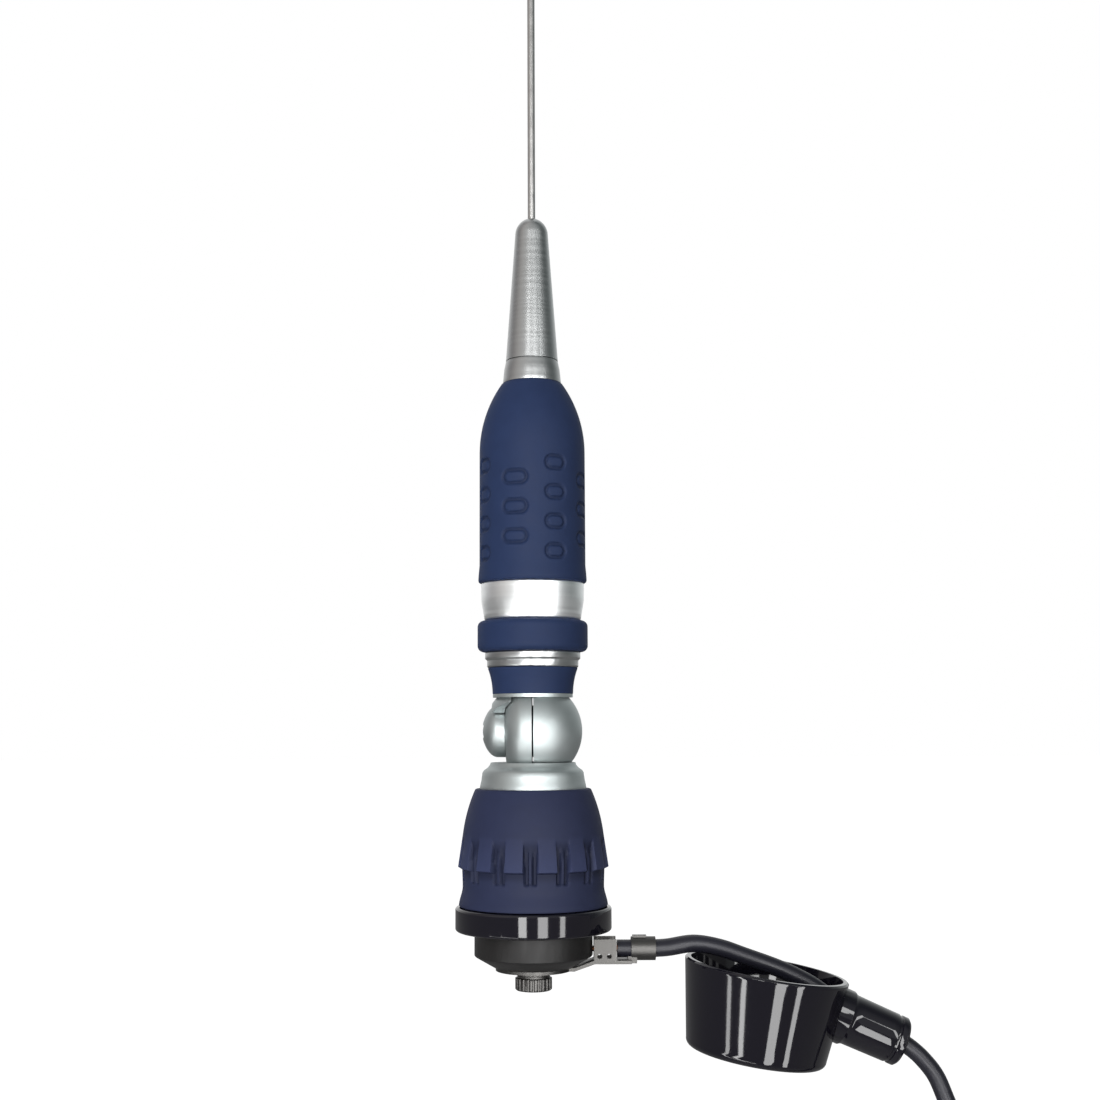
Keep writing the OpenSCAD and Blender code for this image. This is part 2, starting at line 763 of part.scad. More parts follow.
module base_cover() {
    step = 360 / rib_count;
    rib_foot_z = cover_z + 7.3;
    rib_top_z = cover_z + 19;
    pad_foot_z = cover_z + 10.8;
    pad_top_z = cover_z + 20.6;
    field_angle = step - pad_angle;
    r = cover_d / 2;
    inner_r = core_d / 2 + seat_fit;
    color("darkslateblue") difference() {
        union() {
            difference() {
                rotate_extrude() cover_section();
                for (k = [0 : rib_count - 1]) sector(-91.5 + k * step, field_angle) polygon([
                    [r - field_depth - 0.2, rib_foot_z], [r + 2, rib_foot_z - 0.3],
                    [r + 2, rib_top_z + 1.3], [cover_r(rib_top_z) - field_depth, rib_top_z],
                    [r - field_depth, cover_z + 15]
                ]);
            }
            for (k = [0 : rib_count - 1]) {
                sector(-91.5 + k * step, rib_angle) polygon([
                    [inner_r + 1, rib_foot_z], [r - 0.2, rib_foot_z],
                    [r + rib_proud - 0.2, rib_foot_z + 0.6], [r + rib_proud, cover_z + 15],
                    [cover_r(rib_top_z) + rib_proud - 0.1, rib_top_z - 0.6],
                    [cover_r(rib_top_z), rib_top_z + 0.4], [inner_r + 1, rib_top_z + 0.4]
                ]);
                sector(-104.4 + k * step, pad_angle) polygon([
                    [inner_r + 1, pad_foot_z], [r + pad_proud - 0.2, pad_foot_z],
                    [r + pad_proud, pad_foot_z + 0.3],
                    [cover_r(pad_top_z) - 0.05, pad_top_z], [inner_r + 1, pad_top_z]
                ]);
            }
        }
        bore(inner_r, cover_z - 1, seat_z - 4);
        bore(stem_low_d / 2 + seat_fit, seat_z - 5, seat_z + 1);
    }
}

module base_core() {
    top_z = seat_z - 4 - seat_fit;
    color("silver") difference() {
        bore(core_d / 2, cover_z, top_z);
        bore(stud_d / 2 + run_fit, cover_z - 1, flange_z + flange_h + stud_top_h + 0.8);
        bore(stem_low_d / 2 + seat_fit, seat_z - stem_low_h - 0.3, top_z + 1);
    }
}

module mount_ring() {
    color("black") difference() {
        rotate_extrude() edge_rounded(0, ring_d / 2, 0, ring_h, 0.8);
        bore(seal_r, -1, web_z);
        bore(bush_d / 2 + seat_fit, -1, ring_h + 1);
        bore(flange_d / 2 + seat_fit, flange_z, ring_h + 1);
    }
}

module roof_seal() {
    r0 = bush_d / 2 + 1;
    width = seal_r - seat_fit - r0;
    color("dimgray") rotate_extrude() {
        translate([r0, lip_r]) square([width, web_z - lip_r]);
        for (x = [0.14, 0.5, 0.86])
            translate([r0 + x * width, lip_r + seat_fit]) circle(r = lip_r, $fn = 32);
    }
}

module mount_stud() {
    color("silver") {
        bore(stud_low_d / 2, nut_z + 0.3, flange_z + skin);
        bore(flange_d / 2, flange_z, flange_z + flange_h);
        rotate_extrude() polygon([
            [0, flange_z + flange_h - skin], [stud_d / 2, flange_z + flange_h - skin],
            [stud_d / 2, flange_z + flange_h + stud_top_h - 0.6],
            [stud_d / 2 - 0.6, flange_z + flange_h + stud_top_h],
            [0, flange_z + flange_h + stud_top_h]
        ]);
    }
}

module stud_bush() {
    color("white") plain_ring(
        stud_low_d / 2 + seat_fit, bush_d / 2, cable_z + terminal_h / 2 + seat_fit, flange_z
    );
}

module lower_insulator() {
    r = insulator_d / 2;
    taper_z = -insulator_h + insulator_taper_h;
    core_r = core_d_mm / 2 + seat_fit;
    color("black") difference() {
        rotate_extrude() polygon([
            [0, 0], [r - 0.8, 0], [r - 0.6, -0.4], [r - 0.3, -0.4], [r, -0.7], [r, taper_z + 0.3],
            [r - 0.3, taper_z], [insulator_foot_d / 2, -insulator_h], [0, -insulator_h]
        ]);
        bore(bush_d / 2 + seat_fit, cable_z + terminal_h / 2 + seat_fit, 1);
        bore(stud_low_d / 2 + seat_fit, -insulator_h - 1, 1);
        bore(terminal_d / 2 + seat_fit, cable_z - terminal_h / 2 - seat_fit,
            cable_z + terminal_h / 2 + seat_fit);
        translate([0, 0, cable_z]) along_x() cylinder(r = core_r, h = far);
    }
}

// Ring terminal round the stud and the conductor that leads to it
module cable_core() {
    color("peru") difference() {
        union() {
            plain_ring(0, terminal_d / 2, cable_z - terminal_h / 2, cable_z + terminal_h / 2);
            translate([stud_low_d, 0, cable_z]) along_x()
                cylinder(d = core_d_mm, h = jacket_x - stud_low_d, $fn = 24);
        }
        bore(stud_low_d / 2 + seat_fit, cable_z - 2, cable_z + 2);
    }
}

// Side outline of the bracket's strip, from the disc to the channel's end
module bracket_strip() {
    disc_r = bracket_disc_d / 2;
    under_z = -insulator_h;
    rotate([90, 0, 0]) linear_extrude(channel_w, center = true) polygon([
        [disc_r - 3, under_z], [insulator_foot_d / 2 + 0.4, under_z],
        [channel_x, channel_floor_z], [crimp_x, channel_floor_z],
        [crimp_x, channel_floor_z - sheet_t], [channel_x + 0.2, channel_floor_z - sheet_t],
        [insulator_foot_d / 2 + 0.2, under_z - sheet_t], [disc_r - 3, under_z - sheet_t]
    ]);
}

module cable_bracket() {
    crimp_r = cable_d / 2 + seat_fit;
    wall_l = 0.6 * channel_l;
    seam_w = 2.2;
    seam_h = crimp_r + crimp_wall + 0.4;
    color("gainsboro") difference() {
        union() {
            plain_ring(0, bracket_disc_d / 2, bracket_z, -insulator_h);
            bracket_strip();
            for (y = [-channel_w / 2, channel_w / 2 - sheet_t])
                translate([channel_x, y, channel_floor_z - sheet_t])
                    cube([wall_l, sheet_t, channel_top_z - channel_floor_z + sheet_t]);
            translate([crimp_x, 0, cable_z]) along_x() cylinder(r = crimp_r + crimp_wall, h = crimp_l);
            translate([crimp_x - 1, -crimp_r, channel_floor_z - sheet_t])
                cube([2.6, 2 * crimp_r, 2]);
            translate([crimp_x + 0.4, -seam_w / 2, cable_z]) cube([4, seam_w, seam_h]);
        }
        bore(stud_low_d / 2 + seat_fit, bracket_z - 1, 0);
        translate([crimp_x - 5, 0, cable_z]) along_x() cylinder(r = crimp_r, h = crimp_l + 10);
        for (x = [0.25, 0.68]) translate([channel_x + x * wall_l, -far / 2, channel_floor_z + 1.2])
            rotate([-90, 0, 0]) cylinder(r = 0.7, h = far, $fn = 24);
    }
}

module mount_nut() {
    top_z = bracket_z;
    r = nut_d / 2;
    color("silver") difference() {
        rotate_extrude() polygon([
            [0, nut_z], [r - 0.4, nut_z], [r, nut_z + 0.4], [r, nut_z + 3.4],
            [r - 0.6, nut_z + 3.6], [r - 0.6, nut_z + 4.2], [r, nut_z + 4.4],
            [r, top_z], [0, top_z]
        ]);
        bore(stud_low_d / 2 + run_fit, nut_z - 1, top_z + 1);
        for (k = [0 : nut_knurls - 1]) rotate([0, 0, 360 * k / nut_knurls])
            translate([r + 0.15, 0, nut_z - 1]) cylinder(r = 0.4, h = 4.5, $fn = 16);
    }
}

// Puts what is drawn with the rim's centre at the origin in the cap's place
module in_cap() {
    translate(cap_at) rotate([0, cap_tilt, 0]) children();
}

// Puts what is drawn along Z on the boot's line
module on_boot() {
    translate(boot_at) rotate([0, 90 + boot_slope, 0]) children();
}

module weather_cap() {
    r_rim = cap_d / 2;
    r_floor = r_rim - cap_draft / 2;
    r_root = boot_root_d / 2;
    r_mouth = boot_mouth_d / 2;
    color("black") difference() {
        union() {
            in_cap() rotate_extrude() {
                polygon([
                    [0, -cap_h], [r_floor - 2, -cap_h], [r_floor, 2 - cap_h], [r_rim, -0.5],
                    [r_rim - 0.5, 0], [0, 0]
                ]);
                translate([r_floor - 2, 2 - cap_h]) circle(r = 2);
            }
            on_boot() rotate_extrude() polygon([
                [0, -3], [r_root, -3], [r_root, 2.2], [r_root - 0.4, 2.8], [r_mouth + 0.2, 3.4],
                [r_mouth, boot_l - 3.4], [r_mouth - 0.4, boot_l - 3.2], [r_mouth - 0.4, boot_l - 2.5],
                [r_mouth, boot_l - 2.3], [r_mouth, boot_l - 0.7], [r_mouth - 0.7, boot_l],
                [0, boot_l]
            ]);
        }
        in_cap() rotate_extrude() polygon([
            [0, cap_wall - cap_h], [r_floor - cap_wall - 0.8, cap_wall - cap_h],
            [r_floor - cap_wall, cap_wall - cap_h + 0.8], [r_rim - cap_wall, 1], [0, 1]
        ]);
        on_boot() translate([0, 0, -8])
            cylinder(r1 = r_root - 1.2, r2 = cable_d / 2 + 0.6, h = boot_l + 8.5);
    }
}

module cable() {
    color("black") tube_along(smooth(route), cable_d);
}

module cable_tail() {
    color("black") tube_along(smooth(tail_route), cable_d);
}

// Turns a section drawn in radius and width about the coil's axis
module about_coil(from, angle) {
    translate(coil_at) rotate([-90, 0, 0]) rotate([0, 0, from]) rotate_extrude(angle = angle)
        children();
}

// Rectangle round the coil's section, larger by grow on each side
module coil_section(grow, edge) {
    r0 = 2 * coil_mean_r - coil_outer_r - grow;
    r1 = coil_outer_r + grow;
    w = coil_half_w + grow;
    translate([r0 + edge, -w]) square([r1 - r0 - 2 * edge, 2 * w]);
    translate([r0, edge - w]) square([r1 - r0, 2 * (w - edge)]);
    for (r = [r0 + edge, r1 - edge])
        for (y = [edge - w, w - edge]) translate([r, y]) circle(r = edge, $fn = 32);
}

module cable_coil() {
    color("dimgray") about_coil(0, 360) coil_section(0, cable_d / 2);
}

module coil_ties() {
    turn = tie_w / coil_mean_r * 180 / PI;
    for (from = [135, 45]) color("black") about_coil(from - turn / 2, turn) difference() {
        coil_section(tie_t, cable_d / 2 + tie_t);
        coil_section(seat_fit, cable_d / 2);
    }
}

// Puts a section drawn from the plug's shoulder downwards in the plug's place
module in_plug() {
    translate([plug_x, plug_y, 0]) children();
}

module plug_boot() {
    r = plug_barrel_d / 2 - 1.6;
    foot_z = plug_z - 8;
    color("black") in_plug() rotate_extrude() polygon([
        [cable_d / 2 + seat_fit, foot_z], [r, foot_z], [r, plug_z], [r - 0.3, plug_z + 0.4],
        [r - 1, foot_z + plug_boot_l], [cable_d / 2 + seat_fit, foot_z + plug_boot_l]
    ]);
}

module plug_body() {
    r = plug_barrel_d / 2;
    shoulder_z = plug_z - plug_barrel_l;
    front_z = shoulder_z - plug_shoulder_t;
    r_shoulder = plug_mouth_d / 2 - 0.2;
    color("silver") in_plug() difference() {
        rotate_extrude() polygon([
            [0, front_z], [r_shoulder - 2.2, front_z], [r_shoulder - 2.2, plug_face_z],
            [r_shoulder - 1, plug_face_z], [r_shoulder - 1, front_z + 0.3], [r_shoulder, front_z + 0.3],
            [r_shoulder, shoulder_z], [r, shoulder_z], [r, plug_z - 1], [r - 0.5, plug_z - 0.5],
            [r - 1.5, plug_z - 0.5], [r - 1.5, plug_z - 9], [0, plug_z - 9]
        ]);
        bore(pin_tail_r + seat_fit, plug_face_z - 1, plug_z - 5);
    }
}

module plug_insulator() {
    r_shoulder = plug_mouth_d / 2 - 0.2;
    front_z = plug_z - plug_barrel_l - plug_shoulder_t;
    color("ivory") in_plug()
        plain_ring(pin_tail_r + seat_fit, r_shoulder - 2.2 - seat_fit, plug_face_z, front_z);
}

module plug_pin() {
    tip_z = plug_face_z - pin_l;
    color("gold") in_plug() rotate_extrude() {
        translate([0, tip_z + pin_d / 2]) square([pin_d / 2, pin_l - pin_d / 2]);
        translate([0, plug_face_z - skin]) square([pin_tail_r, 8]);
        intersection() {
            translate([0, tip_z + pin_d / 2]) circle(d = pin_d);
            translate([0, tip_z]) square([pin_d / 2, pin_d]);
        }
    }
}

module plug_ring() {
    r = plug_ring_d / 2;
    back_z = plug_z - plug_barrel_l + 1.2;
    foot_z = back_z - plug_ring_l;
    r_back = plug_barrel_d / 2 + run_fit;
    color("gainsboro") in_plug() difference() {
        rotate_extrude() polygon([
            [r_back, back_z], [r - 0.8, back_z], [r, back_z - 0.8], [r, foot_z + 3.4],
            [r - 0.5, foot_z + 3.2], [r - 0.5, foot_z], [plug_mouth_d / 2, foot_z],
            [plug_mouth_d / 2, back_z - 1.2], [r_back, back_z - 1.2]
        ]);
        for (k = [0 : ring_knurls - 1]) rotate([0, 0, 360 * k / ring_knurls])
            translate([r + 0.25, 0, foot_z + 3.4]) cylinder(r = 0.6, h = far, $fn = 16);
    }
}

whip();
whip_tip();
whip_holder();
grub_screws();
top_collar();
coil_sleeve();
coil_former();
coil_winding();
coil_base();
trim_band();
lower_grip();
knuckle_collar();
neck();
upper_knuckle();
lower_knuckle();
clamp_screw();
knuckle_washer();
base_cover();
base_core();
mount_ring();
roof_seal();
mount_stud();
stud_bush();
lower_insulator();
cable_bracket();
cable_core();
mount_nut();
weather_cap();
cable();
cable_coil();
coil_ties();
cable_tail();
plug_boot();
plug_body();
plug_insulator();
plug_pin();
plug_ring();
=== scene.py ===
import json
import math

import bmesh
import bpy
from bpy.props import FloatProperty, FloatVectorProperty, IntProperty, PointerProperty
from mathutils import Euler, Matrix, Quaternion, Vector


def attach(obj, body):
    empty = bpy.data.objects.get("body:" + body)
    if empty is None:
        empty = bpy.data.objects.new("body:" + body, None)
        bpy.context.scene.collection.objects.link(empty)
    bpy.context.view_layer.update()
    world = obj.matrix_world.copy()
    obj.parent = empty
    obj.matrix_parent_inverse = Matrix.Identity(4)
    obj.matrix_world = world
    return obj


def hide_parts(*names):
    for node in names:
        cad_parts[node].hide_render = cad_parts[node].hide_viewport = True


bl_info = {
    "name": "Roof antenna",
    "version": (1, 0, 0),
    "blender": (4, 5, 0),
    "location": "View3D > Sidebar > Antenna",
    "description": "Finishes of a roof antenna with a tilting knuckle, and its studio",
    "category": "Add Mesh",
}

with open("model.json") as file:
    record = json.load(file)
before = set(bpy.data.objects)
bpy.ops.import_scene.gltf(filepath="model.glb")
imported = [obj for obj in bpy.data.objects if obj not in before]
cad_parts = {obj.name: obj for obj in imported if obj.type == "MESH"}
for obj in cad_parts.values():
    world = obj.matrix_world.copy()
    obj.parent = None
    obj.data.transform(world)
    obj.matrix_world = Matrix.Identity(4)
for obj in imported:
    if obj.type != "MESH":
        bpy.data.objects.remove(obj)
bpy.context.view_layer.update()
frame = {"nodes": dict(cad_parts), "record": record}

MM = 0.001
BODY_OF = {
    node: body
    for body, nodes in frame["record"]["behaviour"]["bodies"].items()
    for node in nodes
}
SLOT_OF = {part["node"]: part["material_slot"] for part in frame["record"]["subparts"]}


class AntennaColours(bpy.types.PropertyGroup):
    """Base colours of the finishes, as linear values"""

    sleeve_blue: FloatVectorProperty(
        name="Sleeve blue", description="Soft-touch blue of the sleeve and the grip ring",
        subtype="COLOR", size=3, min=0, max=1, default=(0.026, 0.045, 0.118))
    cover_blue: FloatVectorProperty(
        name="Cover blue", description="Soft-touch blue of the base cover and the neck",
        subtype="COLOR", size=3, min=0, max=1, default=(0.032, 0.040, 0.091))
    satin_metal: FloatVectorProperty(
        name="Satin metal", description="Turned metal of the holder and the collars",
        subtype="COLOR", size=3, min=0, max=1, default=(0.41, 0.42, 0.42))
    knuckle_metal: FloatVectorProperty(
        name="Knuckle metal", description="Satin plating of the ball and its collar",
        subtype="COLOR", size=3, min=0, max=1, default=(0.40, 0.435, 0.435))
    band_metal: FloatVectorProperty(
        name="Band metal", description="Bright trim band",
        subtype="COLOR", size=3, min=0, max=1, default=(0.86, 0.88, 0.88))
    whip_metal: FloatVectorProperty(
        name="Whip metal", description="Drawn steel of the whip",
        subtype="COLOR", size=3, min=0, max=1, default=(0.45, 0.445, 0.435))
    zinc: FloatVectorProperty(
        name="Zinc", description="Plated steel of the bracket, the nut and the plug",
        subtype="COLOR", size=3, min=0, max=1, default=(0.08, 0.078, 0.075))
    gloss_black: FloatVectorProperty(
        name="Gloss black", description="Polished black of the ring and the weather cap",
        subtype="COLOR", size=3, min=0, max=1, default=(0.009, 0.008, 0.014))
    matt_black: FloatVectorProperty(
        name="Matt black", description="Moulded black of the lower insulator",
        subtype="COLOR", size=3, min=0, max=1, default=(0.022, 0.021, 0.021))
    jacket_black: FloatVectorProperty(
        name="Jacket black", description="Jacket of the cable",
        subtype="COLOR", size=3, min=0, max=1, default=(0.018, 0.018, 0.028))


class AntennaSizes(bpy.types.PropertyGroup):
    """Sizes of the finish, in metres"""

    edge: FloatProperty(
        name="Edge", description="Rounding of turned edges",
        default=0.00025, min=0.00005, max=0.001, precision=5, unit="LENGTH")
    small_edge: FloatProperty(
        name="Small edge", description="Rounding of thin sheet and small screws",
        default=0.0001, min=0.00002, max=0.0005, precision=5, unit="LENGTH")
    groove: FloatProperty(
        name="Groove depth", description="Depth of the sleeve's relief lines",
        default=0.0005, min=0.0001, max=0.001, precision=5, unit="LENGTH")
    cable: FloatProperty(
        name="Cable diameter", description="Diameter of the feed cable",
        default=0.005, min=0.004, max=0.006, precision=4, unit="LENGTH")
    turn_steps: IntProperty(
        name="Steps per turn", description="Points of the cable's line in one turn of the coil",
        default=28, min=12, max=60)


class AntennaStage(bpy.types.PropertyGroup):
    """Camera, floor and lamps"""

    camera_at: FloatVectorProperty(
        name="Camera", description="Place of the camera",
        subtype="TRANSLATION", size=3, unit="LENGTH", default=(0.0052, -0.450, 0.0589))
    camera_pitch: FloatProperty(
        name="Pitch", description="How far the camera looks up",
        default=math.radians(6.485), unit="ROTATION")
    camera_roll: FloatProperty(
        name="Roll", description="How far the camera leans to one side",
        default=math.radians(-0.24), unit="ROTATION")
    lens: FloatProperty(
        name="Lens", description="Focal length on a 36 mm sensor, in millimetres",
        default=50.06, min=20, max=120)
    floor_z: FloatProperty(
        name="Floor", description="Height of the floor, well under the hanging plug",
        default=-0.85, unit="LENGTH")
    strip_glow: FloatProperty(
        name="Strip lamps", description="Brightness of the strips that glint in gloss and metal",
        default=11.0, min=0, max=40)
    key_glow: FloatProperty(
        name="Key lamp", description="Brightness of the soft lamp that lights the colours",
        default=4.05, min=0, max=40)
    ambient: FloatProperty(
        name="Ambient", description="Strength of the white surround on the object",
        default=0.27, min=0, max=2)


def settings():
    return bpy.context.scene.antenna_colours


def sizes():
    return bpy.context.scene.antenna_sizes


def stage_settings():
    return bpy.context.scene.antenna_stage


def link(tree, source, target):
    tree.links.new(source, target)


def new_group(name, inputs, outputs):
    """An empty shader node group with named sockets, and its input and output nodes."""
    group = bpy.data.node_groups.new(name, "ShaderNodeTree")
    for label, kind, default in inputs:
        socket = group.interface.new_socket(label, in_out="INPUT", socket_type=kind)
        if default is not None:
            socket.default_value = default
    for label, kind in outputs:
        group.interface.new_socket(label, in_out="OUTPUT", socket_type=kind)
    return group, group.nodes.new("NodeGroupInput"), group.nodes.new("NodeGroupOutput")


def math_node(tree, operation, *values):
    """A math node whose inputs are numbers or sockets."""
    node = tree.nodes.new("ShaderNodeMath")
    node.operation = operation
    for place, value in enumerate(values):
        if hasattr(value, "is_output"):
            link(tree, value, node.inputs[place])
        else:
            node.inputs[place].default_value = value
    return node.outputs[0]


def noise(tree, vector, scale, detail, dimensions="3D"):
    node = tree.nodes.new("ShaderNodeTexNoise")
    node.noise_dimensions = dimensions
    link(tree, vector, node.inputs["W" if dimensions == "1D" else "Vector"])
    node.inputs["Detail"].default_value = detail
    if hasattr(scale, "is_output"):
        link(tree, scale, node.inputs["Scale"])
    else:
        node.inputs["Scale"].default_value = scale
    return node.outputs["Fac"]


def grain_group():
    """Fine moulded grain: a height made of two sizes of noise."""
    name = "Moulded grain"
    if name in bpy.data.node_groups:
        return bpy.data.node_groups[name]
    group, given, out = new_group(
        name,
        [("Vector", "NodeSocketVector", None), ("Scale", "NodeSocketFloat", 3000.0)],
        [("Height", "NodeSocketFloat"), ("Patches", "NodeSocketFloat")],
    )
    fine = noise(group, given.outputs["Vector"], given.outputs["Scale"], 3)
    coarse_scale = math_node(group, "MULTIPLY", given.outputs["Scale"], 0.03)
    coarse = noise(group, given.outputs["Vector"], coarse_scale, 2)
    link(group, fine, out.inputs["Height"])
    link(group, coarse, out.inputs["Patches"])
    return group


def turning_group():
    """Fine rings left by turning, round the Z axis of the vector that it is given."""
    name = "Turning marks"
    if name in bpy.data.node_groups:
        return bpy.data.node_groups[name]
    group, given, out = new_group(
        name,
        [("Vector", "NodeSocketVector", None), ("Scale", "NodeSocketFloat", 6000.0)],
        [("Height", "NodeSocketFloat"), ("Bands", "NodeSocketFloat")],
    )
    split = group.nodes.new("ShaderNodeSeparateXYZ")
    link(group, given.outputs["Vector"], split.inputs[0])
    height = noise(group, split.outputs["Z"], given.outputs["Scale"], 2, "1D")
    band_scale = math_node(group, "MULTIPLY", given.outputs["Scale"], 0.12)
    bands = noise(group, split.outputs["Z"], band_scale, 1, "1D")
    link(group, height, out.inputs["Height"])
    link(group, bands, out.inputs["Bands"])
    return group


def tone_group():
    """Two tones of one colour, mixed by a mask."""
    name = "Two tones"
    if name in bpy.data.node_groups:
        return bpy.data.node_groups[name]
    group, given, out = new_group(
        name,
        [("Mask", "NodeSocketFloat", 0.5), ("Tone A", "NodeSocketColor", None),
         ("Tone B", "NodeSocketColor", None)],
        [("Colour", "NodeSocketColor")],
    )
    mix = group.nodes.new("ShaderNodeMix")
    mix.data_type = "RGBA"
    link(group, given.outputs["Mask"], mix.inputs["Factor"])
    link(group, given.outputs["Tone A"], mix.inputs["A"])
    link(group, given.outputs["Tone B"], mix.inputs["B"])
    link(group, mix.outputs["Result"], out.inputs["Colour"])
    return group


def placed_group(tree, group, **values):
    node = tree.nodes.new("ShaderNodeGroup")
    node.node_tree = group
    for label, value in values.items():
        socket = node.inputs[label.replace("_", " ")]
        if hasattr(value, "is_output"):
            link(tree, value, socket)
        else:
            socket.default_value = value
    return node


def spread(tree, value, low, high):
    """A value from 0 to 1 stretched between low and high."""
    node = tree.nodes.new("ShaderNodeMapRange")
    link(tree, value, node.inputs["Value"])
    node.inputs["From Min"].default_value = 0.3
    node.inputs["From Max"].default_value = 0.7
    node.inputs["To Min"].default_value = low
    node.inputs["To Max"].default_value = high
    return node.outputs["Result"]


def shade(colour, factor):
    return (*(min(1.0, part * factor) for part in colour), 1.0)


def bump(tree, shader, height, strength, depth):
    node = tree.nodes.new("ShaderNodeBump")
    node.inputs["Strength"].default_value = strength
    node.inputs["Distance"].default_value = depth
    link(tree, height, node.inputs["Height"])
    link(tree, node.outputs["Normal"], shader.inputs["Normal"])


def blank_material(name):
    """A material with its Principled shader and its object coordinates."""
    material = bpy.data.materials.new(name)
    material.use_nodes = True
    tree = material.node_tree
    shader = tree.nodes["Principled BSDF"]
    place = tree.nodes.new("ShaderNodeTexCoord").outputs["Object"]
    return material, tree, shader, place


RELIEF_SHADE = 0.6  # strength of the painted shade in the relief's hollows and of the painted light on its raised parts


def moulded_finish(name, colour, roughness, grain_scale, grain_depth, gloss=0.5):
    """Moulded plastic or rubber: two close tones, uneven roughness and a fine grain.

    Where a piece carries the relief attribute, its hollows get painted shade and its raised parts
    painted light: the base colour is darkened or lightened there.
    """
    material, tree, shader, place = blank_material(name)
    grain = placed_group(tree, grain_group(), Vector=place, Scale=grain_scale)
    tones = placed_group(
        tree, tone_group(), Mask=grain.outputs["Patches"],
        Tone_A=shade(colour, 0.9), Tone_B=shade(colour, 1.1))
    relief = tree.nodes.new("ShaderNodeAttribute")
    relief.attribute_name = "relief"
    colour_with_painted_shade = tree.nodes.new("ShaderNodeHueSaturation")
    link(tree, tones.outputs["Colour"], colour_with_painted_shade.inputs["Color"])
    # Painted shade and light: the relief mask darkens the colour in hollows and lightens it on
    # raised parts.
    value = math_node(tree, "MULTIPLY_ADD", relief.outputs["Fac"], -RELIEF_SHADE, 1.0)
    link(tree, value, colour_with_painted_shade.inputs["Value"])
    link(tree, colour_with_painted_shade.outputs["Color"], shader.inputs["Base Color"])
    vary = min(0.05, 0.3 * roughness)
    rough = spread(tree, grain.outputs["Patches"], roughness - vary, roughness + vary)
    link(tree, rough, shader.inputs["Roughness"])
    shader.inputs["Specular IOR Level"].default_value = gloss
    bump(tree, shader, grain.outputs["Height"], 0.5, grain_depth)
    return material


def turned_finish(name, colour, roughness, ring_scale, ring_depth, across=False):
    """Turned metal: fine rings round the mast's axis, or round the knuckle's if across is set."""
    material, tree, shader, place = blank_material(name)
    if across:
        turn = tree.nodes.new("ShaderNodeMapping")
        turn.inputs["Rotation"].default_value = (0, math.radians(90), 0)
        link(tree, place, turn.inputs["Vector"])
        place = turn.outputs["Vector"]
    rings = placed_group(tree, turning_group(), Vector=place, Scale=ring_scale)
    tones = placed_group(
        tree, tone_group(), Mask=rings.outputs["Bands"],
        Tone_A=shade(colour, 0.94), Tone_B=shade(colour, 1.06))
    link(tree, tones.outputs["Colour"], shader.inputs["Base Color"])
    shader.inputs["Metallic"].default_value = 1.0
    rough = spread(tree, rings.outputs["Bands"], roughness - 0.03, roughness + 0.03)
    link(tree, rough, shader.inputs["Roughness"])
    bump(tree, shader, rings.outputs["Height"], 0.4, ring_depth)
    return material


def plated_finish(name, colour, roughness, grain_scale, grain_depth):
    """Plated metal: cloudy tone and roughness with a very fine grain."""
    material, tree, shader, place = blank_material(name)
    grain = placed_group(tree, grain_group(), Vector=place, Scale=grain_scale)
    tones = placed_group(
        tree, tone_group(), Mask=grain.outputs["Patches"],
        Tone_A=shade(colour, 0.95), Tone_B=shade(colour, 1.05))
    link(tree, tones.outputs["Colour"], shader.inputs["Base Color"])
    shader.inputs["Metallic"].default_value = 1.0
    rough = spread(tree, grain.outputs["Patches"], roughness - 0.03, roughness + 0.03)
    link(tree, rough, shader.inputs["Roughness"])
    bump(tree, shader, grain.outputs["Height"], 0.4, grain_depth)
    return material


def make_finishes():
    """Every material slot of the record, by name.

    The numbers are the roughness, the scale and depth of the marks, and for mouldings the gloss.
    """
    c = settings()
    return {
        "spring_steel": turned_finish("spring_steel", c.whip_metal, 0.34, 1500, 0.000004),
        "satin_metal": turned_finish("satin_metal", c.satin_metal, 0.32, 7000, 0.000006),
        "bright_band": turned_finish("bright_band", c.band_metal, 0.36, 9000, 0.000004),
        "plated_knuckle": plated_finish("plated_knuckle", c.knuckle_metal, 0.48, 5000, 0.000003),
        "plated_steel": plated_finish("plated_steel", c.zinc, 0.4, 6000, 0.000004),
        "dark_steel": plated_finish("dark_steel", (0.09, 0.09, 0.095), 0.38, 6000, 0.000006),
        "copper_wire": plated_finish("copper_wire", (0.62, 0.24, 0.10), 0.28, 4000, 0.000004),
        "blue_sleeve": moulded_finish("blue_sleeve", c.sleeve_blue, 0.6, 7000, 0.00002, 0.1),
        "blue_cover": moulded_finish("blue_cover", c.cover_blue, 0.6, 7000, 0.00002, 0.1),
        "black_gloss": moulded_finish("black_gloss", c.gloss_black, 0.06, 900, 0.000002, 0.45),
        "black_matte": moulded_finish("black_matte", c.matt_black, 0.42, 6000, 0.00002, 0.2),
        "black_rubber": moulded_finish("black_rubber", (0.02, 0.02, 0.02), 0.6, 5000, 0.00002, 0.3),
        "cable_jacket": moulded_finish("cable_jacket", c.jacket_black, 0.36, 3500, 0.00001, 0.35),
        "pale_plastic": moulded_finish("pale_plastic", (0.68, 0.64, 0.54), 0.42, 4000, 0.00001),
    }


FINISH = {}


def finish_of(node):
    """The material of a node's slot, made when it is first asked for."""
    if not FINISH:
        FINISH.update(make_finishes())
    return FINISH[SLOT_OF[node]]


def dress(obj, *nodes):
    """Gives a new piece its material, slot and body, in place of the nodes it stands for."""
    node = nodes[0]
    obj.data.materials.clear()
    obj.data.materials.append(finish_of(node))
    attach(obj, BODY_OF[node])
    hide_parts(*nodes)
    return obj


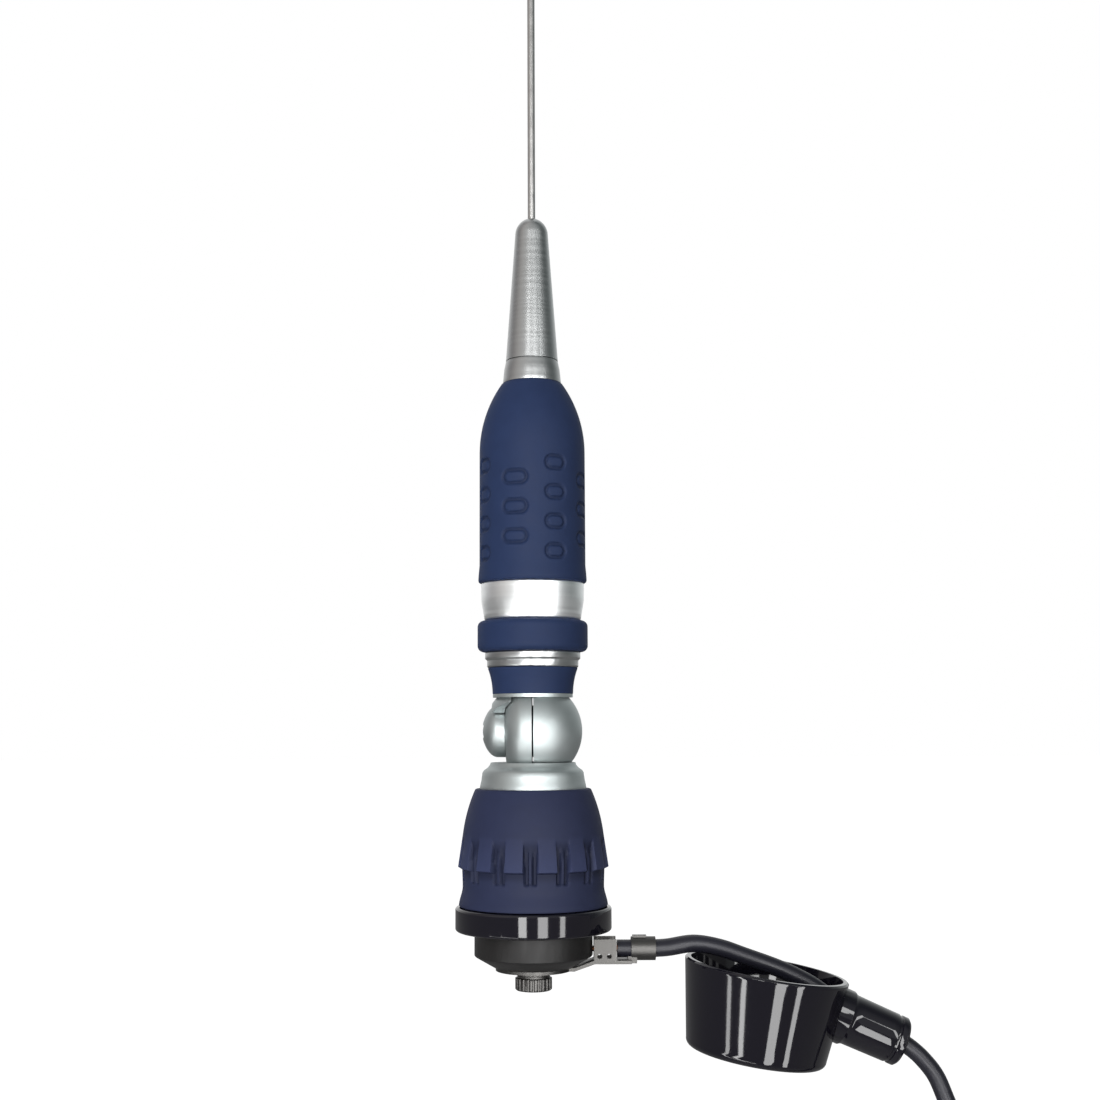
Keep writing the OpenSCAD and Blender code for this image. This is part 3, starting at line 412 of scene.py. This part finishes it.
def object_from(bm, name, angle=35):
    """A smooth-shaded object from a bmesh, sharp where its faces meet at more than an angle."""
    mesh = bpy.data.meshes.new(name)
    bm.to_mesh(mesh)
    bm.free()
    mesh.polygons.foreach_set("use_smooth", [True] * len(mesh.polygons))
    mesh.set_sharp_from_angle(angle=math.radians(angle))
    obj = bpy.data.objects.new(name, mesh)
    bpy.context.scene.collection.objects.link(obj)
    return obj


def round_edges(obj, width, segments=3, angle=30):
    """Rounds the sharp edges of a piece."""
    bevel = obj.modifiers.new("Rounded edges", "BEVEL")
    bevel.width = width
    bevel.segments = segments
    bevel.limit_method = "ANGLE"
    bevel.angle_limit = math.radians(angle)
    bevel.use_clamp_overlap = True
    bevel.harden_normals = True


def welded(node):
    """A bmesh of a CAD node with its doubles merged and its flat faces joined."""
    bm = bmesh.new()
    bm.from_mesh(frame["nodes"][node].data)
    bmesh.ops.remove_doubles(bm, verts=bm.verts, dist=2e-6)
    bmesh.ops.dissolve_limit(
        bm, angle_limit=math.radians(0.02), verts=bm.verts, edges=bm.edges)
    return bm


def finished(bm, name, node, width, segments=3, angle=30):
    """A piece from a bmesh, its sharp edges rounded, in place of a CAD node."""
    obj = object_from(bm, name, angle)
    round_edges(obj, width, segments, angle)
    return dress(obj, node)


def softened(node, width, segments=3):
    """A piece in a CAD node's own shape, with its sharp edges rounded."""
    return finished(welded(node), "dressed_" + node, node, width, segments)


# The sizes of shapes from here on are in millimetres, in the part's frame.
BALL_Z = 56.8        # height of the knuckle's screw
HEAD_R = 7.5         # radius of the screw's broad head
SOLID_HEAD_R = 5.0   # radius of the head in the solids
RECESS_R = 2.5       # the screw keeps its shape inside this radius
HEAD_FOOT_X = -7.7   # the head lies beyond this place along the screw
LUG_FOOT_X = -6      # the lug lies beyond this place
LUG_END_X = -11.9    # the lug's outer end round the broad head
HEAD_GAP = 0.5       # room between the head and the lug


def about_knuckle(node, move):
    """A CAD node's bmesh whose vertices are moved by (place along the screw, radius) in mm."""
    bm = welded(node)
    for vert in bm.verts:
        y, z = vert.co.y / MM, vert.co.z / MM - BALL_Z
        r = math.hypot(y, z)
        along, wanted = move(vert.co.x / MM, r)
        if r > 0:
            vert.co = Vector((along, y * wanted / r, z * wanted / r + BALL_Z)) * MM
    bmesh.ops.remove_doubles(bm, verts=bm.verts, dist=2e-5)
    bmesh.ops.recalc_face_normals(bm, faces=bm.faces)
    return bm


def wide_screw():
    """The clamp screw with the broad, flat dome that the photo shows."""
    def move(x, r):
        if x > HEAD_FOOT_X or r < RECESS_R:
            return x, r
        return x, RECESS_R + (r - RECESS_R) * (HEAD_R - RECESS_R) / (SOLID_HEAD_R - RECESS_R)

    bm = about_knuckle("clamp_screw", move)
    return finished(bm, "wide_screw", "clamp_screw", sizes().edge)


def lugged_knuckle():
    """The knuckle's upper half, its lug cut back round the broad screw."""
    def move(x, r):
        if x > LUG_FOOT_X or r > HEAD_R + HEAD_GAP:
            return x, r
        return max(x, LUG_END_X), HEAD_R + HEAD_GAP

    bm = about_knuckle("upper_knuckle", move)
    return finished(bm, "lugged_knuckle", "upper_knuckle", sizes().edge)


def kept(node):
    """A CAD node shown as it is, with its own finish."""
    obj = frame["nodes"][node]
    obj.data.materials.clear()
    obj.data.materials.append(finish_of(node))


def spun(points, steps):
    """A bmesh turned round the Z axis from a closed section of (radius, height) points."""
    bm = bmesh.new()
    verts = [bm.verts.new((r, 0, z)) for r, z in points]
    for a, b in zip(verts, verts[1:] + verts[:1]):
        bm.edges.new((a, b))
    bmesh.ops.spin(
        bm, geom=bm.verts[:] + bm.edges[:], cent=(0, 0, 0), axis=(0, 0, 1),
        dvec=(0, 0, 0), angle=math.tau, steps=steps, use_merge=True)
    bmesh.ops.remove_doubles(bm, verts=bm.verts, dist=1e-7)
    bmesh.ops.recalc_face_normals(bm, faces=bm.faces)
    return bm


def smoothstep(low, high, value):
    t = min(1.0, max(0.0, (value - low) / (high - low)))
    return t * t * (3 - 2 * t)


def stepped(low, high, step):
    """Evenly spaced values from low to high, both included."""
    count = max(1, round((high - low) / step))
    return [low + (high - low) * k / count for k in range(count + 1)]


def arc_points(centre, radius, z_low, z_high, step):
    """Points of an arc that faces outwards, from one height to another."""
    return [
        (centre[0] + math.sqrt(max(radius ** 2 - (z - centre[1]) ** 2, 0)), z)
        for z in stepped(z_low, z_high, step)
    ]


def reshaped(bm, shape):
    """Gives each vertex of a turned piece the radius of its place and a mask of painted shade and
    light for its relief.
    """
    mask = bm.verts.layers.float.new("relief")
    for vert in bm.verts:
        r = math.hypot(vert.co.x, vert.co.y)
        heading = math.degrees(math.atan2(vert.co.y, vert.co.x))
        wanted, vert[mask] = shape(heading, vert.co.z / MM, r / MM)
        vert.co.x *= wanted * MM / r
        vert.co.y *= wanted * MM / r
    bmesh.ops.recalc_face_normals(bm, faces=bm.faces)
    return bm


SLEEVE_R = 15.65
SLEEVE_FOOT = 100.2
SLEEVE_TOP = 160.1
SLEEVE_WALL_R = 13.5         # the relief lies outside this radius
RELIEF_Z = (104.8, 140)      # the relief lies between these heights
LOOP_MID_Z = SLEEVE_FOOT + 21
LOOP_H = 4.9                 # height of a loop
LOOP_PITCH = 8.6             # step between loops in a column
LOOP_LINE = (0.2, 0.75)      # the line's full depth ends at the first, the line at the second
LOOP_INSET = 0.6             # middle of the line, in from the loop's edge
LOOP_SHADE = 0.45            # painted shade: how much darker the loops' groove line is coloured
COLUMN_REACH = 24            # degrees to a side that a column can cover
SLEEVE_STEPS = 320
# heading of a column in degrees, width of its loops, and their number
LOOP_COLUMNS = [(-108.5 + 90 * k, 8.36, 3) for k in range(4)]
LOOP_COLUMNS += [(-63.5 + 90 * k, 7.04, 4) for k in range(4)]


def turn_between(a, b):
    """The angle from b to a, from -180 to 180 degrees."""
    return (a - b + 180) % 360 - 180


def loop_depth(heading, z, r):
    """How deep the loops of the relief cut the sleeve at a heading and a height."""
    for centre, width, count in LOOP_COLUMNS:
        turn = turn_between(heading, centre)
        if abs(turn) > COLUMN_REACH:
            continue
        x = r * math.sin(math.radians(turn))
        for k in range(count):
            y = z - LOOP_MID_Z - (k - (count - 1) / 2) * LOOP_PITCH
            if abs(y) > LOOP_H:
                continue
            along = max(abs(x) - (width - LOOP_H) / 2, 0)
            outside = math.hypot(along, y) - LOOP_H / 2
            return 1 - smoothstep(*LOOP_LINE, abs(outside + LOOP_INSET))
    return 0


def sleeve_section():
    """The sleeve's closed section: its outside from the foot to the top, then its bore."""
    ogive_h = 21.1
    ogive_in = SLEEVE_R - 8.9
    ogive_r = (ogive_h ** 2 + ogive_in ** 2) / (2 * ogive_in)
    ogive_foot = SLEEVE_TOP - ogive_h
    outside = [
        (15.3, SLEEVE_FOOT), (15.6, SLEEVE_FOOT + 0.05), (15.9, SLEEVE_FOOT + 0.3),
        (16.0, SLEEVE_FOOT + 0.8), (15.93, SLEEVE_FOOT + 2), (15.8, SLEEVE_FOOT + 3.6)]
    outside += [(SLEEVE_R, z) for z in stepped(SLEEVE_FOOT + 5, ogive_foot, 0.3)]
    outside += arc_points(
        (SLEEVE_R - ogive_r, ogive_foot), ogive_r, ogive_foot + 0.6, SLEEVE_TOP - 0.4, 0.7)
    outside += [(8.8, SLEEVE_TOP - 0.1), (8.5, SLEEVE_TOP)]
    bore = [(5.05, SLEEVE_TOP), (5.05, 156.1), (12.65, 145.0), (12.65, SLEEVE_FOOT)]
    return [(r * MM, z * MM) for r, z in outside + bore]


def relief_sleeve():
    """The coil's sleeve with its soft-edged loops."""
    depth = sizes().groove / MM

    def shape(heading, z, r):
        if r < SLEEVE_WALL_R or not RELIEF_Z[0] < z < RELIEF_Z[1]:
            return r, 0
        hollow = loop_depth(heading, z, r)
        # The groove line gets painted shade in its colour as well as its depth.
        return r - depth * hollow, LOOP_SHADE * hollow

    bm = reshaped(spun(sleeve_section(), SLEEVE_STEPS), shape)
    return dress(object_from(bm, "relief_sleeve", 40), "coil_sleeve")


COVER_Z = 7.0          # the cover's foot
COVER_TOP = 40.3
COVER_R = 20.7         # radius at the waist
COVER_WALL_R = 15.5    # the ribs lie outside this radius
COVER_WAIST = COVER_Z + 15
LIP_H = 0.5            # height of the rounded lip at the top
SHOULDER_IN = 3.7      # how far the shoulder draws in under the lip
FLARE = 1.1            # how far the foot flares out
FLARE_H = 5.5
TUCK = 0.3             # how far the wall draws in under the waist
RIB_COUNT = 14
RIB_STEP = 360 / RIB_COUNT
RIB_TURN = 91.5        # one rib's heading is minus this angle
RIB_HALF = (1.1, 2.0)  # half width of a rib's top and of its foot, in degrees
RIB_FOOT = COVER_Z + 7.3
RIB_TOP = COVER_Z + 19
RIB_RISE = 0.9
RIB_FADE = 6.4         # height over which a rib's top fades out
FIELD_DEPTH = 0.8      # depth of the hollow round a rib
PAD_FOOT = COVER_Z + 10.8
PAD_TOP = COVER_Z + 20.6
PAD_HALF = 7.5         # half of the hollow between two pads, in degrees
PAD_TAPER = 0.9
PAD_PROUD = 1.1        # how far a pad's foot stands out
SOFT = 0.3             # half width of a soft step
STEPS_PER_RIB = 28


def cover_outside(z):
    """The plain cover's radius at a height, without ribs and pads."""
    rise = COVER_TOP - LIP_H - COVER_WAIST
    arc = (rise ** 2 + SHOULDER_IN ** 2) / (2 * SHOULDER_IN)
    if z > COVER_WAIST:
        return COVER_R - arc + math.sqrt(arc ** 2 - (z - COVER_WAIST) ** 2)
    low = smoothstep(COVER_Z + 5, COVER_WAIST, z)
    foot = 1 - smoothstep(COVER_Z, COVER_Z + FLARE_H, z)
    return COVER_R - TUCK * (1 - low) + FLARE * foot


def ribbed_shape(heading, z, r):
    """The cover's radius and a mask of painted shade and light: ribs in hollow fields, with raised
    pads between.
    """
    if r < COVER_WALL_R or not COVER_Z + 5 < z < COVER_Z + 22:
        return r, 0
    plain = cover_outside(z)
    turn = abs((heading + RIB_TURN + RIB_STEP / 2) % RIB_STEP - RIB_STEP / 2)
    rise = (z - PAD_FOOT) / (PAD_TOP - PAD_FOOT)
    edge = RIB_STEP / 2 - PAD_HALF + PAD_TAPER * min(max(rise, 0), 1)
    beside = smoothstep(edge - 0.9, edge, turn)
    above = smoothstep(RIB_FOOT - SOFT, RIB_FOOT + 2 * SOFT, z)
    rib = (1 - smoothstep(*RIB_HALF, turn)) * above
    rib *= 1 - smoothstep(RIB_TOP - RIB_FADE, RIB_TOP, z)
    field = (1 - beside) * above
    field *= 1 - smoothstep(RIB_TOP - 2.5, RIB_TOP + 1.2, z)
    pad = beside * smoothstep(PAD_FOOT - SOFT, PAD_FOOT + SOFT, z)
    pad *= 1 - smoothstep(0.9, 1.05, rise)
    out = COVER_R + PAD_PROUD + (cover_outside(PAD_TOP) - COVER_R - PAD_PROUD) * rise - plain
    # The mask is painted light and shade: the hollow fields and a band under each pad's foot get
    # painted shade, the pads get painted light that fades towards their top.
    under = smoothstep(PAD_FOOT - 3.2, PAD_FOOT - 0.8, z) * (1 - smoothstep(-0.03, 0.03, rise))
    painted_shade = 0.62 * max(field * (1 - 0.7 * rib), under * beside)
    pale = 0.85 * pad * (1 - 0.8 * rise)
    return plain + pad * max(out, 0) - FIELD_DEPTH * field + RIB_RISE * rib * field, painted_shade - pale


def cover_section():
    """The cover's closed section: its outside from the foot to the top, then its bore."""
    heights = stepped(COVER_Z + 0.4, COVER_Z + 6, 0.8)
    heights += stepped(COVER_Z + 6.3, COVER_Z + 21.9, 0.3)
    heights += stepped(COVER_Z + 22.6, COVER_TOP - LIP_H, 0.9)
    outside = [(21.0, COVER_Z), (21.35, COVER_Z + 0.1)]
    outside += [(cover_outside(z), z) for z in heights]
    outside += [(16.85, COVER_TOP - 0.2), (16.5, COVER_TOP - 0.03), (16.0, COVER_TOP)]
    bore = [(6.05, COVER_TOP), (6.05, COVER_TOP - 4), (13.05, COVER_TOP - 4), (13.05, COVER_Z)]
    return [(r * MM, z * MM) for r, z in outside + bore]


def ribbed_cover():
    """The base cover with its ribs and pads, all edges soft."""
    bm = reshaped(spun(cover_section(), RIB_COUNT * STEPS_PER_RIB), ribbed_shape)
    return dress(object_from(bm, "ribbed_cover", 40), "base_cover")


CAP_AT = (66.9, 0, -11)    # middle of the cap's rim
CAP_TILT = 9               # lean of the cap's axis, in degrees
CAP_LOOPS = (-1.2, -21.9)  # heights of the loops on the cap's axis


def looped_cap():
    """The weather cap, with a loop near each end of its wall that keeps the shading straight."""
    bm = welded("weather_cap")
    tilt = math.radians(CAP_TILT)
    axis = Vector((math.sin(tilt), 0, math.cos(tilt)))
    for height in CAP_LOOPS:
        bmesh.ops.bisect_plane(
            bm, geom=bm.verts[:] + bm.edges[:] + bm.faces[:],
            plane_co=(Vector(CAP_AT) + axis * height) * MM, plane_no=axis)
    return finished(bm, "dressed_weather_cap", "weather_cap", sizes().edge)


class ANTENNA_OT_camera(bpy.types.Operator):
    """Place the camera at the photograph's angle"""

    bl_idname = "antenna.camera"
    bl_label = "Camera"

    def execute(self, context):
        s = stage_settings()
        data = bpy.data.cameras.new("camera")
        data.lens = s.lens
        data.sensor_width = 36
        data.clip_start = 0.01
        camera = bpy.data.objects.new("camera", data)
        camera.location = s.camera_at
        look = Euler((math.radians(90) + s.camera_pitch, 0, 0)).to_quaternion()
        camera.rotation_euler = (look @ Quaternion((0, 0, 1), s.camera_roll)).to_euler()
        context.scene.collection.objects.link(camera)
        context.scene.camera = camera
        return {"FINISHED"}


CABLE_ROUTE = [
    (24, 0, -5.3), (31, 0, -5.3), (38, 0, -5.1), (46, 0, -4), (53.5, 0, -5.2), (60.5, 0, -7.6),
    (70.5, 0, -11.2), (78, 0, -14.8), (82, 0, -17.3), (86.5, 0, -20.4), (92, 0, -24),
    (98, 0, -27.6), (103.5, 0, -30.8), (107.5, 0, -33.4), (111, 0, -36.6), (114.5, 0, -41.2),
    (117, -0.5, -47.4), (119.3, -1.5, -54), (121, -3, -62), (122.5, -4.5, -69.6),
    (126.9, -6, -76.1), (133.4, -7, -80.5), (141, -7.5, -82),
]
TAIL_ROUTE = [
    (141, 7.5, -82), (157, 7.5, -84.5), (171, 7.5, -92.6), (181, 7.5, -104.6),
    (185.6, 7.5, -119), (186.4, 7.5, -134), (186.4, 7.5, -146),
]
COIL_CENTRE = Vector((141, 0, -122)) * MM
COIL_COLUMNS = (-7.5, -2.5, 2.5, 7.5)
COIL_LAYERS = (40, 35, 30, 25, 20)
CROSSING = 0.8  # the part of a turn after which the cable crosses to its next place
ROUTE_PARTS = 6
TAIL_PARTS = 5


def between(a, b, c, d, t):
    """The point t of the way from b to c on a smooth curve through a, b, c and d."""
    return 0.5 * (
        2 * b + (c - a) * t + (2 * a - 5 * b + 4 * c - d) * t * t
        + (3 * b - a - 3 * c + d) * t ** 3
    )


def smooth_line(points, parts):
    """A route in millimetres as a smooth line of points in metres."""
    p = [Vector(point) * MM for point in points]
    last = len(p) - 1
    line = []
    for i in range(last):
        for k in range(parts):
            line.append(between(p[max(i - 1, 0)], p[i], p[i + 1], p[min(i + 2, last)], k / parts))
    line.append(p[last])
    return line


def coil_line(steps):
    """The stored turns: down through the layers of a column, then up through the next one's."""
    places = []
    for number, y in enumerate(COIL_COLUMNS):
        layers = COIL_LAYERS if number % 2 == 0 else COIL_LAYERS[::-1]
        places += [(r * MM, y * MM) for r in layers]
    line = []
    for turn, (radius, y) in enumerate(places):
        next_radius, next_y = places[min(turn + 1, len(places) - 1)]
        for k in range(1, steps + 1):
            part = k / steps
            step = smoothstep(CROSSING, 1.0, part)
            r = radius + (next_radius - radius) * step
            angle = part * math.tau
            line.append(COIL_CENTRE + Vector((
                r * math.sin(angle), y + (next_y - y) * step, r * math.cos(angle))))
    return line


class ANTENNA_OT_cable(bpy.types.Operator):
    """Lay the feed cable from the crimp through the cap and the coil to the plug"""

    bl_idname = "antenna.cable"
    bl_label = "Feed cable"

    def execute(self, context):
        s = sizes()
        line = smooth_line(CABLE_ROUTE, ROUTE_PARTS)
        line += coil_line(s.turn_steps)
        line += smooth_line(TAIL_ROUTE, TAIL_PARTS)[1:]
        curve = bpy.data.curves.new("feed_cable", "CURVE")
        curve.dimensions = "3D"
        spline = curve.splines.new("POLY")
        spline.points.add(len(line) - 1)
        for point, place in zip(spline.points, line):
            point.co = (*place, 1)
        curve.bevel_depth = s.cable / 2
        curve.bevel_resolution = 5
        curve.use_fill_caps = True
        spline.use_smooth = True
        cable = bpy.data.objects.new("feed_cable", curve)
        context.scene.collection.objects.link(cable)
        dress(cable, "cable", "cable_coil", "cable_tail")
        kept("coil_ties")
        return {"FINISHED"}


class ANTENNA_OT_whip(bpy.types.Operator):
    """Finish the whip, its tip and the tapered holder with its grub screws"""

    bl_idname = "antenna.whip"
    bl_label = "Whip and holder"

    def execute(self, context):
        kept("whip")
        for node in ("whip_tip", "whip_holder", "top_collar"):
            softened(node, sizes().edge)
        softened("grub_screws", sizes().small_edge, 2)
        return {"FINISHED"}


class ANTENNA_OT_sleeve(bpy.types.Operator):
    """Finish the coil's sleeve, the trim band and the grip ring"""

    bl_idname = "antenna.sleeve"
    bl_label = "Coil sleeve and bands"

    def execute(self, context):
        relief_sleeve()
        for node in ("trim_band", "lower_grip", "knuckle_collar", "neck"):
            softened(node, sizes().edge)
        for node in ("coil_former", "coil_winding", "coil_base"):
            kept(node)
        return {"FINISHED"}


class ANTENNA_OT_knuckle(bpy.types.Operator):
    """Finish the two halves of the ball, their screw and the washer between them"""

    bl_idname = "antenna.knuckle"
    bl_label = "Knuckle"

    def execute(self, context):
        lugged_knuckle()
        wide_screw()
        softened("lower_knuckle", sizes().edge)
        kept("knuckle_washer")
        return {"FINISHED"}


class ANTENNA_OT_base(bpy.types.Operator):
    """Finish the ribbed base cover and its core"""

    bl_idname = "antenna.base"
    bl_label = "Base cover"

    def execute(self, context):
        ribbed_cover()
        kept("base_core")
        return {"FINISHED"}


class ANTENNA_OT_mount(bpy.types.Operator):
    """Finish the roof ring, the stud, the lower insulator and the nut"""

    bl_idname = "antenna.mount"
    bl_label = "Roof mount"

    def execute(self, context):
        for node in ("mount_ring", "lower_insulator"):
            softened(node, sizes().edge)
        for node in ("mount_nut", "mount_stud"):
            softened(node, sizes().small_edge, 2)
        for node in ("roof_seal", "stud_bush", "cable_core"):
            kept(node)
        return {"FINISHED"}


class ANTENNA_OT_bracket(bpy.types.Operator):
    """Finish the cable bracket with its channel and crimp"""

    bl_idname = "antenna.bracket"
    bl_label = "Cable bracket"

    def execute(self, context):
        softened("cable_bracket", sizes().small_edge, 2)
        return {"FINISHED"}


class ANTENNA_OT_weather_cap(bpy.types.Operator):
    """Finish the glossy cap that waits on the cable"""

    bl_idname = "antenna.weather_cap"
    bl_label = "Weather cap"

    def execute(self, context):
        looped_cap()
        return {"FINISHED"}


class ANTENNA_OT_plug(bpy.types.Operator):
    """Finish the screw plug at the cable's far end"""

    bl_idname = "antenna.plug"
    bl_label = "Plug"

    def execute(self, context):
        for node in ("plug_boot", "plug_body", "plug_ring"):
            softened(node, sizes().small_edge, 2)
        for node in ("plug_insulator", "plug_pin"):
            kept(node)
        return {"FINISHED"}


LAMP_REACH = 0.9  # how far the lamps stand from the mast


def upright_lamp(name, heading, width, low, high, glow):
    """An upright lamp in front, at a heading from the camera's side in degrees."""
    data = bpy.data.lights.new(name, "AREA")
    data.shape = "RECTANGLE"
    data.size = width
    data.size_y = high - low
    data.energy = glow * math.pi * data.size * data.size_y
    lamp = bpy.data.objects.new(name, data)
    turn = math.radians(heading)
    lamp.location = (
        LAMP_REACH * math.sin(turn), -LAMP_REACH * math.cos(turn), (low + high) / 2)
    lamp.rotation_euler = (math.radians(90), 0, turn)
    bpy.context.scene.collection.objects.link(lamp)
    return lamp


def seen_directly(tree, path):
    """A socket that is 1 for what the camera or glass shows, and 0 otherwise."""
    return math_node(
        tree, "MAXIMUM", path.outputs["Is Camera Ray"], path.outputs["Is Transmission Ray"])


# what metal and gloss reflect: heading in degrees, colour
ROOM = (
    (-180, (1.0, 1.0, 1.0)), (-140, (1.0, 1.0, 1.0)), (-115, (0.42, 0.41, 0.42)),
    (-95, (0.34, 0.32, 0.32)), (-75, (0.62, 0.58, 0.56)), (-55, (0.78, 0.75, 0.73)),
    (-35, (0.68, 0.67, 0.66)), (0, (0.55, 0.55, 0.55)), (40, (0.5, 0.52, 0.52)),
    (60, (0.33, 0.35, 0.35)), (78, (0.11, 0.13, 0.13)), (108, (0.12, 0.14, 0.14)),
    (140, (0.78, 0.82, 0.82)), (180, (1.0, 1.0, 1.0)),
)


def white_surround():
    """White to the eye, the studio's room in reflections, a plain ambient light."""
    s = stage_settings()
    world = bpy.data.worlds.new("surround")
    bpy.context.scene.world = world
    world.use_nodes = True
    tree = world.node_tree
    background = tree.nodes["Background"]
    way = tree.nodes.new("ShaderNodeSeparateXYZ")
    link(tree, tree.nodes.new("ShaderNodeTexCoord").outputs["Generated"], way.inputs[0])
    toward = math_node(tree, "MULTIPLY", way.outputs["Y"], -1)
    turn = math_node(tree, "ARCTAN2", way.outputs["X"], toward)
    place = math_node(tree, "MULTIPLY_ADD", turn, 1 / math.tau, 0.5)
    ramp = tree.nodes.new("ShaderNodeValToRGB")
    ramp.color_ramp.interpolation = "B_SPLINE"
    stops = ramp.color_ramp.elements
    stops.remove(stops[1])
    stops[0].position = 0
    stops[0].color = (*ROOM[0][1], 1)
    for heading, colour in ROOM[1:]:
        stops.new((heading + 180) / 360).color = (*colour, 1)
    link(tree, place, ramp.inputs["Fac"])
    path = tree.nodes.new("ShaderNodeLightPath")
    colour = tree.nodes.new("ShaderNodeMix")
    colour.data_type = "RGBA"
    link(tree, path.outputs["Is Glossy Ray"], colour.inputs["Factor"])
    colour.inputs["A"].default_value = (1, 1, 1, 1)
    link(tree, ramp.outputs["Color"], colour.inputs["B"])
    link(tree, colour.outputs["Result"], background.inputs["Color"])
    shown = math_node(
        tree, "MAXIMUM", seen_directly(tree, path), path.outputs["Is Glossy Ray"])
    strength = math_node(tree, "MULTIPLY_ADD", shown, 1 - s.ambient, s.ambient)
    link(tree, strength, background.inputs["Strength"])


FLOOR_HALF = 40
FLOOR_GREY = 0.8
FLOOR_GLOW = 0.85


def white_floor():
    """A pale floor under the hanging plug that keeps the object's shadow."""
    bm = bmesh.new()
    bmesh.ops.create_grid(bm, x_segments=1, y_segments=1, size=FLOOR_HALF)
    bmesh.ops.translate(bm, verts=bm.verts, vec=(0, 0, stage_settings().floor_z))
    floor = object_from(bm, "floor")
    material = bpy.data.materials.new("floor_white")
    material.use_nodes = True
    tree = material.node_tree
    shader = tree.nodes["Principled BSDF"]
    shader.inputs["Base Color"].default_value = (FLOOR_GREY, FLOOR_GREY, FLOOR_GREY, 1)
    shader.inputs["Roughness"].default_value = 0.9
    shader.inputs["Specular IOR Level"].default_value = 0.0
    shader.inputs["Emission Color"].default_value = (1, 1, 1, 1)
    path = tree.nodes.new("ShaderNodeLightPath")
    glow = math_node(tree, "MULTIPLY", seen_directly(tree, path), FLOOR_GLOW)
    link(tree, glow, shader.inputs["Emission Strength"])
    floor.data.materials.append(material)


# heading in degrees, width, share of the glow, low end, high end, lean in degrees
STRIPS = {
    "strip_left": (-15, 0.18, 1.15, -0.19, 0.42, 0),
    "strip_middle": (14, 0.22, 0.9, -0.62, 0.42, 0),
    "strip_right": (43, 0.12, 0.85, -0.62, 0.42, 0),
    "strip_low": (-28, 0.07, 1.1, -0.9, -0.05, -50),
    "strip_low_far": (-46, 0.06, 0.8, -0.9, -0.05, -50),
}
# heading in degrees, width, low end, high end
KEY_LAMP = (-14, 0.6, -0.28, 0.52)


class ANTENNA_OT_stage(bpy.types.Operator):
    """Set up the white floor, the surround and the soft lamps"""

    bl_idname = "antenna.stage"
    bl_label = "Stage"

    def execute(self, context):
        white_surround()
        white_floor()
        s = stage_settings()
        for name, (heading, width, share, low, high, lean) in STRIPS.items():
            strip = upright_lamp(name, heading, width, low, high, s.strip_glow * share)
            strip.rotation_euler.y = math.radians(lean)
            strip.visible_diffuse = False
        key = upright_lamp("key", *KEY_LAMP, s.key_glow)
        key.visible_glossy = False
        context.scene.view_settings.view_transform = "Standard"
        return {"FINISHED"}


class ANTENNA_PT_panel(bpy.types.Panel):
    """Lists the antenna's steps and settings in the sidebar"""

    bl_idname = "ANTENNA_PT_panel"
    bl_label = "Roof antenna"
    bl_space_type = "VIEW_3D"
    bl_region_type = "UI"
    bl_category = "Antenna"

    def draw(self, context):
        for step in STEPS:
            self.layout.operator(step.bl_idname)
        for group in (settings(), sizes(), stage_settings()):
            column = self.layout.column()
            for name in group.__annotations__:
                column.prop(group, name)


STEPS = (
    ANTENNA_OT_camera,
    ANTENNA_OT_cable,
    ANTENNA_OT_whip,
    ANTENNA_OT_sleeve,
    ANTENNA_OT_knuckle,
    ANTENNA_OT_base,
    ANTENNA_OT_mount,
    ANTENNA_OT_bracket,
    ANTENNA_OT_weather_cap,
    ANTENNA_OT_plug,
    ANTENNA_OT_stage,
)
GROUPS = (
    ("antenna_colours", AntennaColours),
    ("antenna_sizes", AntennaSizes),
    ("antenna_stage", AntennaStage),
)


def register():
    for name, group in GROUPS:
        bpy.utils.register_class(group)
        setattr(bpy.types.Scene, name, PointerProperty(type=group))
    for step in STEPS:
        bpy.utils.register_class(step)
    bpy.utils.register_class(ANTENNA_PT_panel)


def unregister():
    bpy.utils.unregister_class(ANTENNA_PT_panel)
    for step in reversed(STEPS):
        bpy.utils.unregister_class(step)
    for name, group in reversed(GROUPS):
        delattr(bpy.types.Scene, name)
        bpy.utils.unregister_class(group)


def main():
    register()
    for step in STEPS:
        family, name = step.bl_idname.split(".")
        getattr(getattr(bpy.ops, family), name)()


if __name__ == "__main__":
    main()
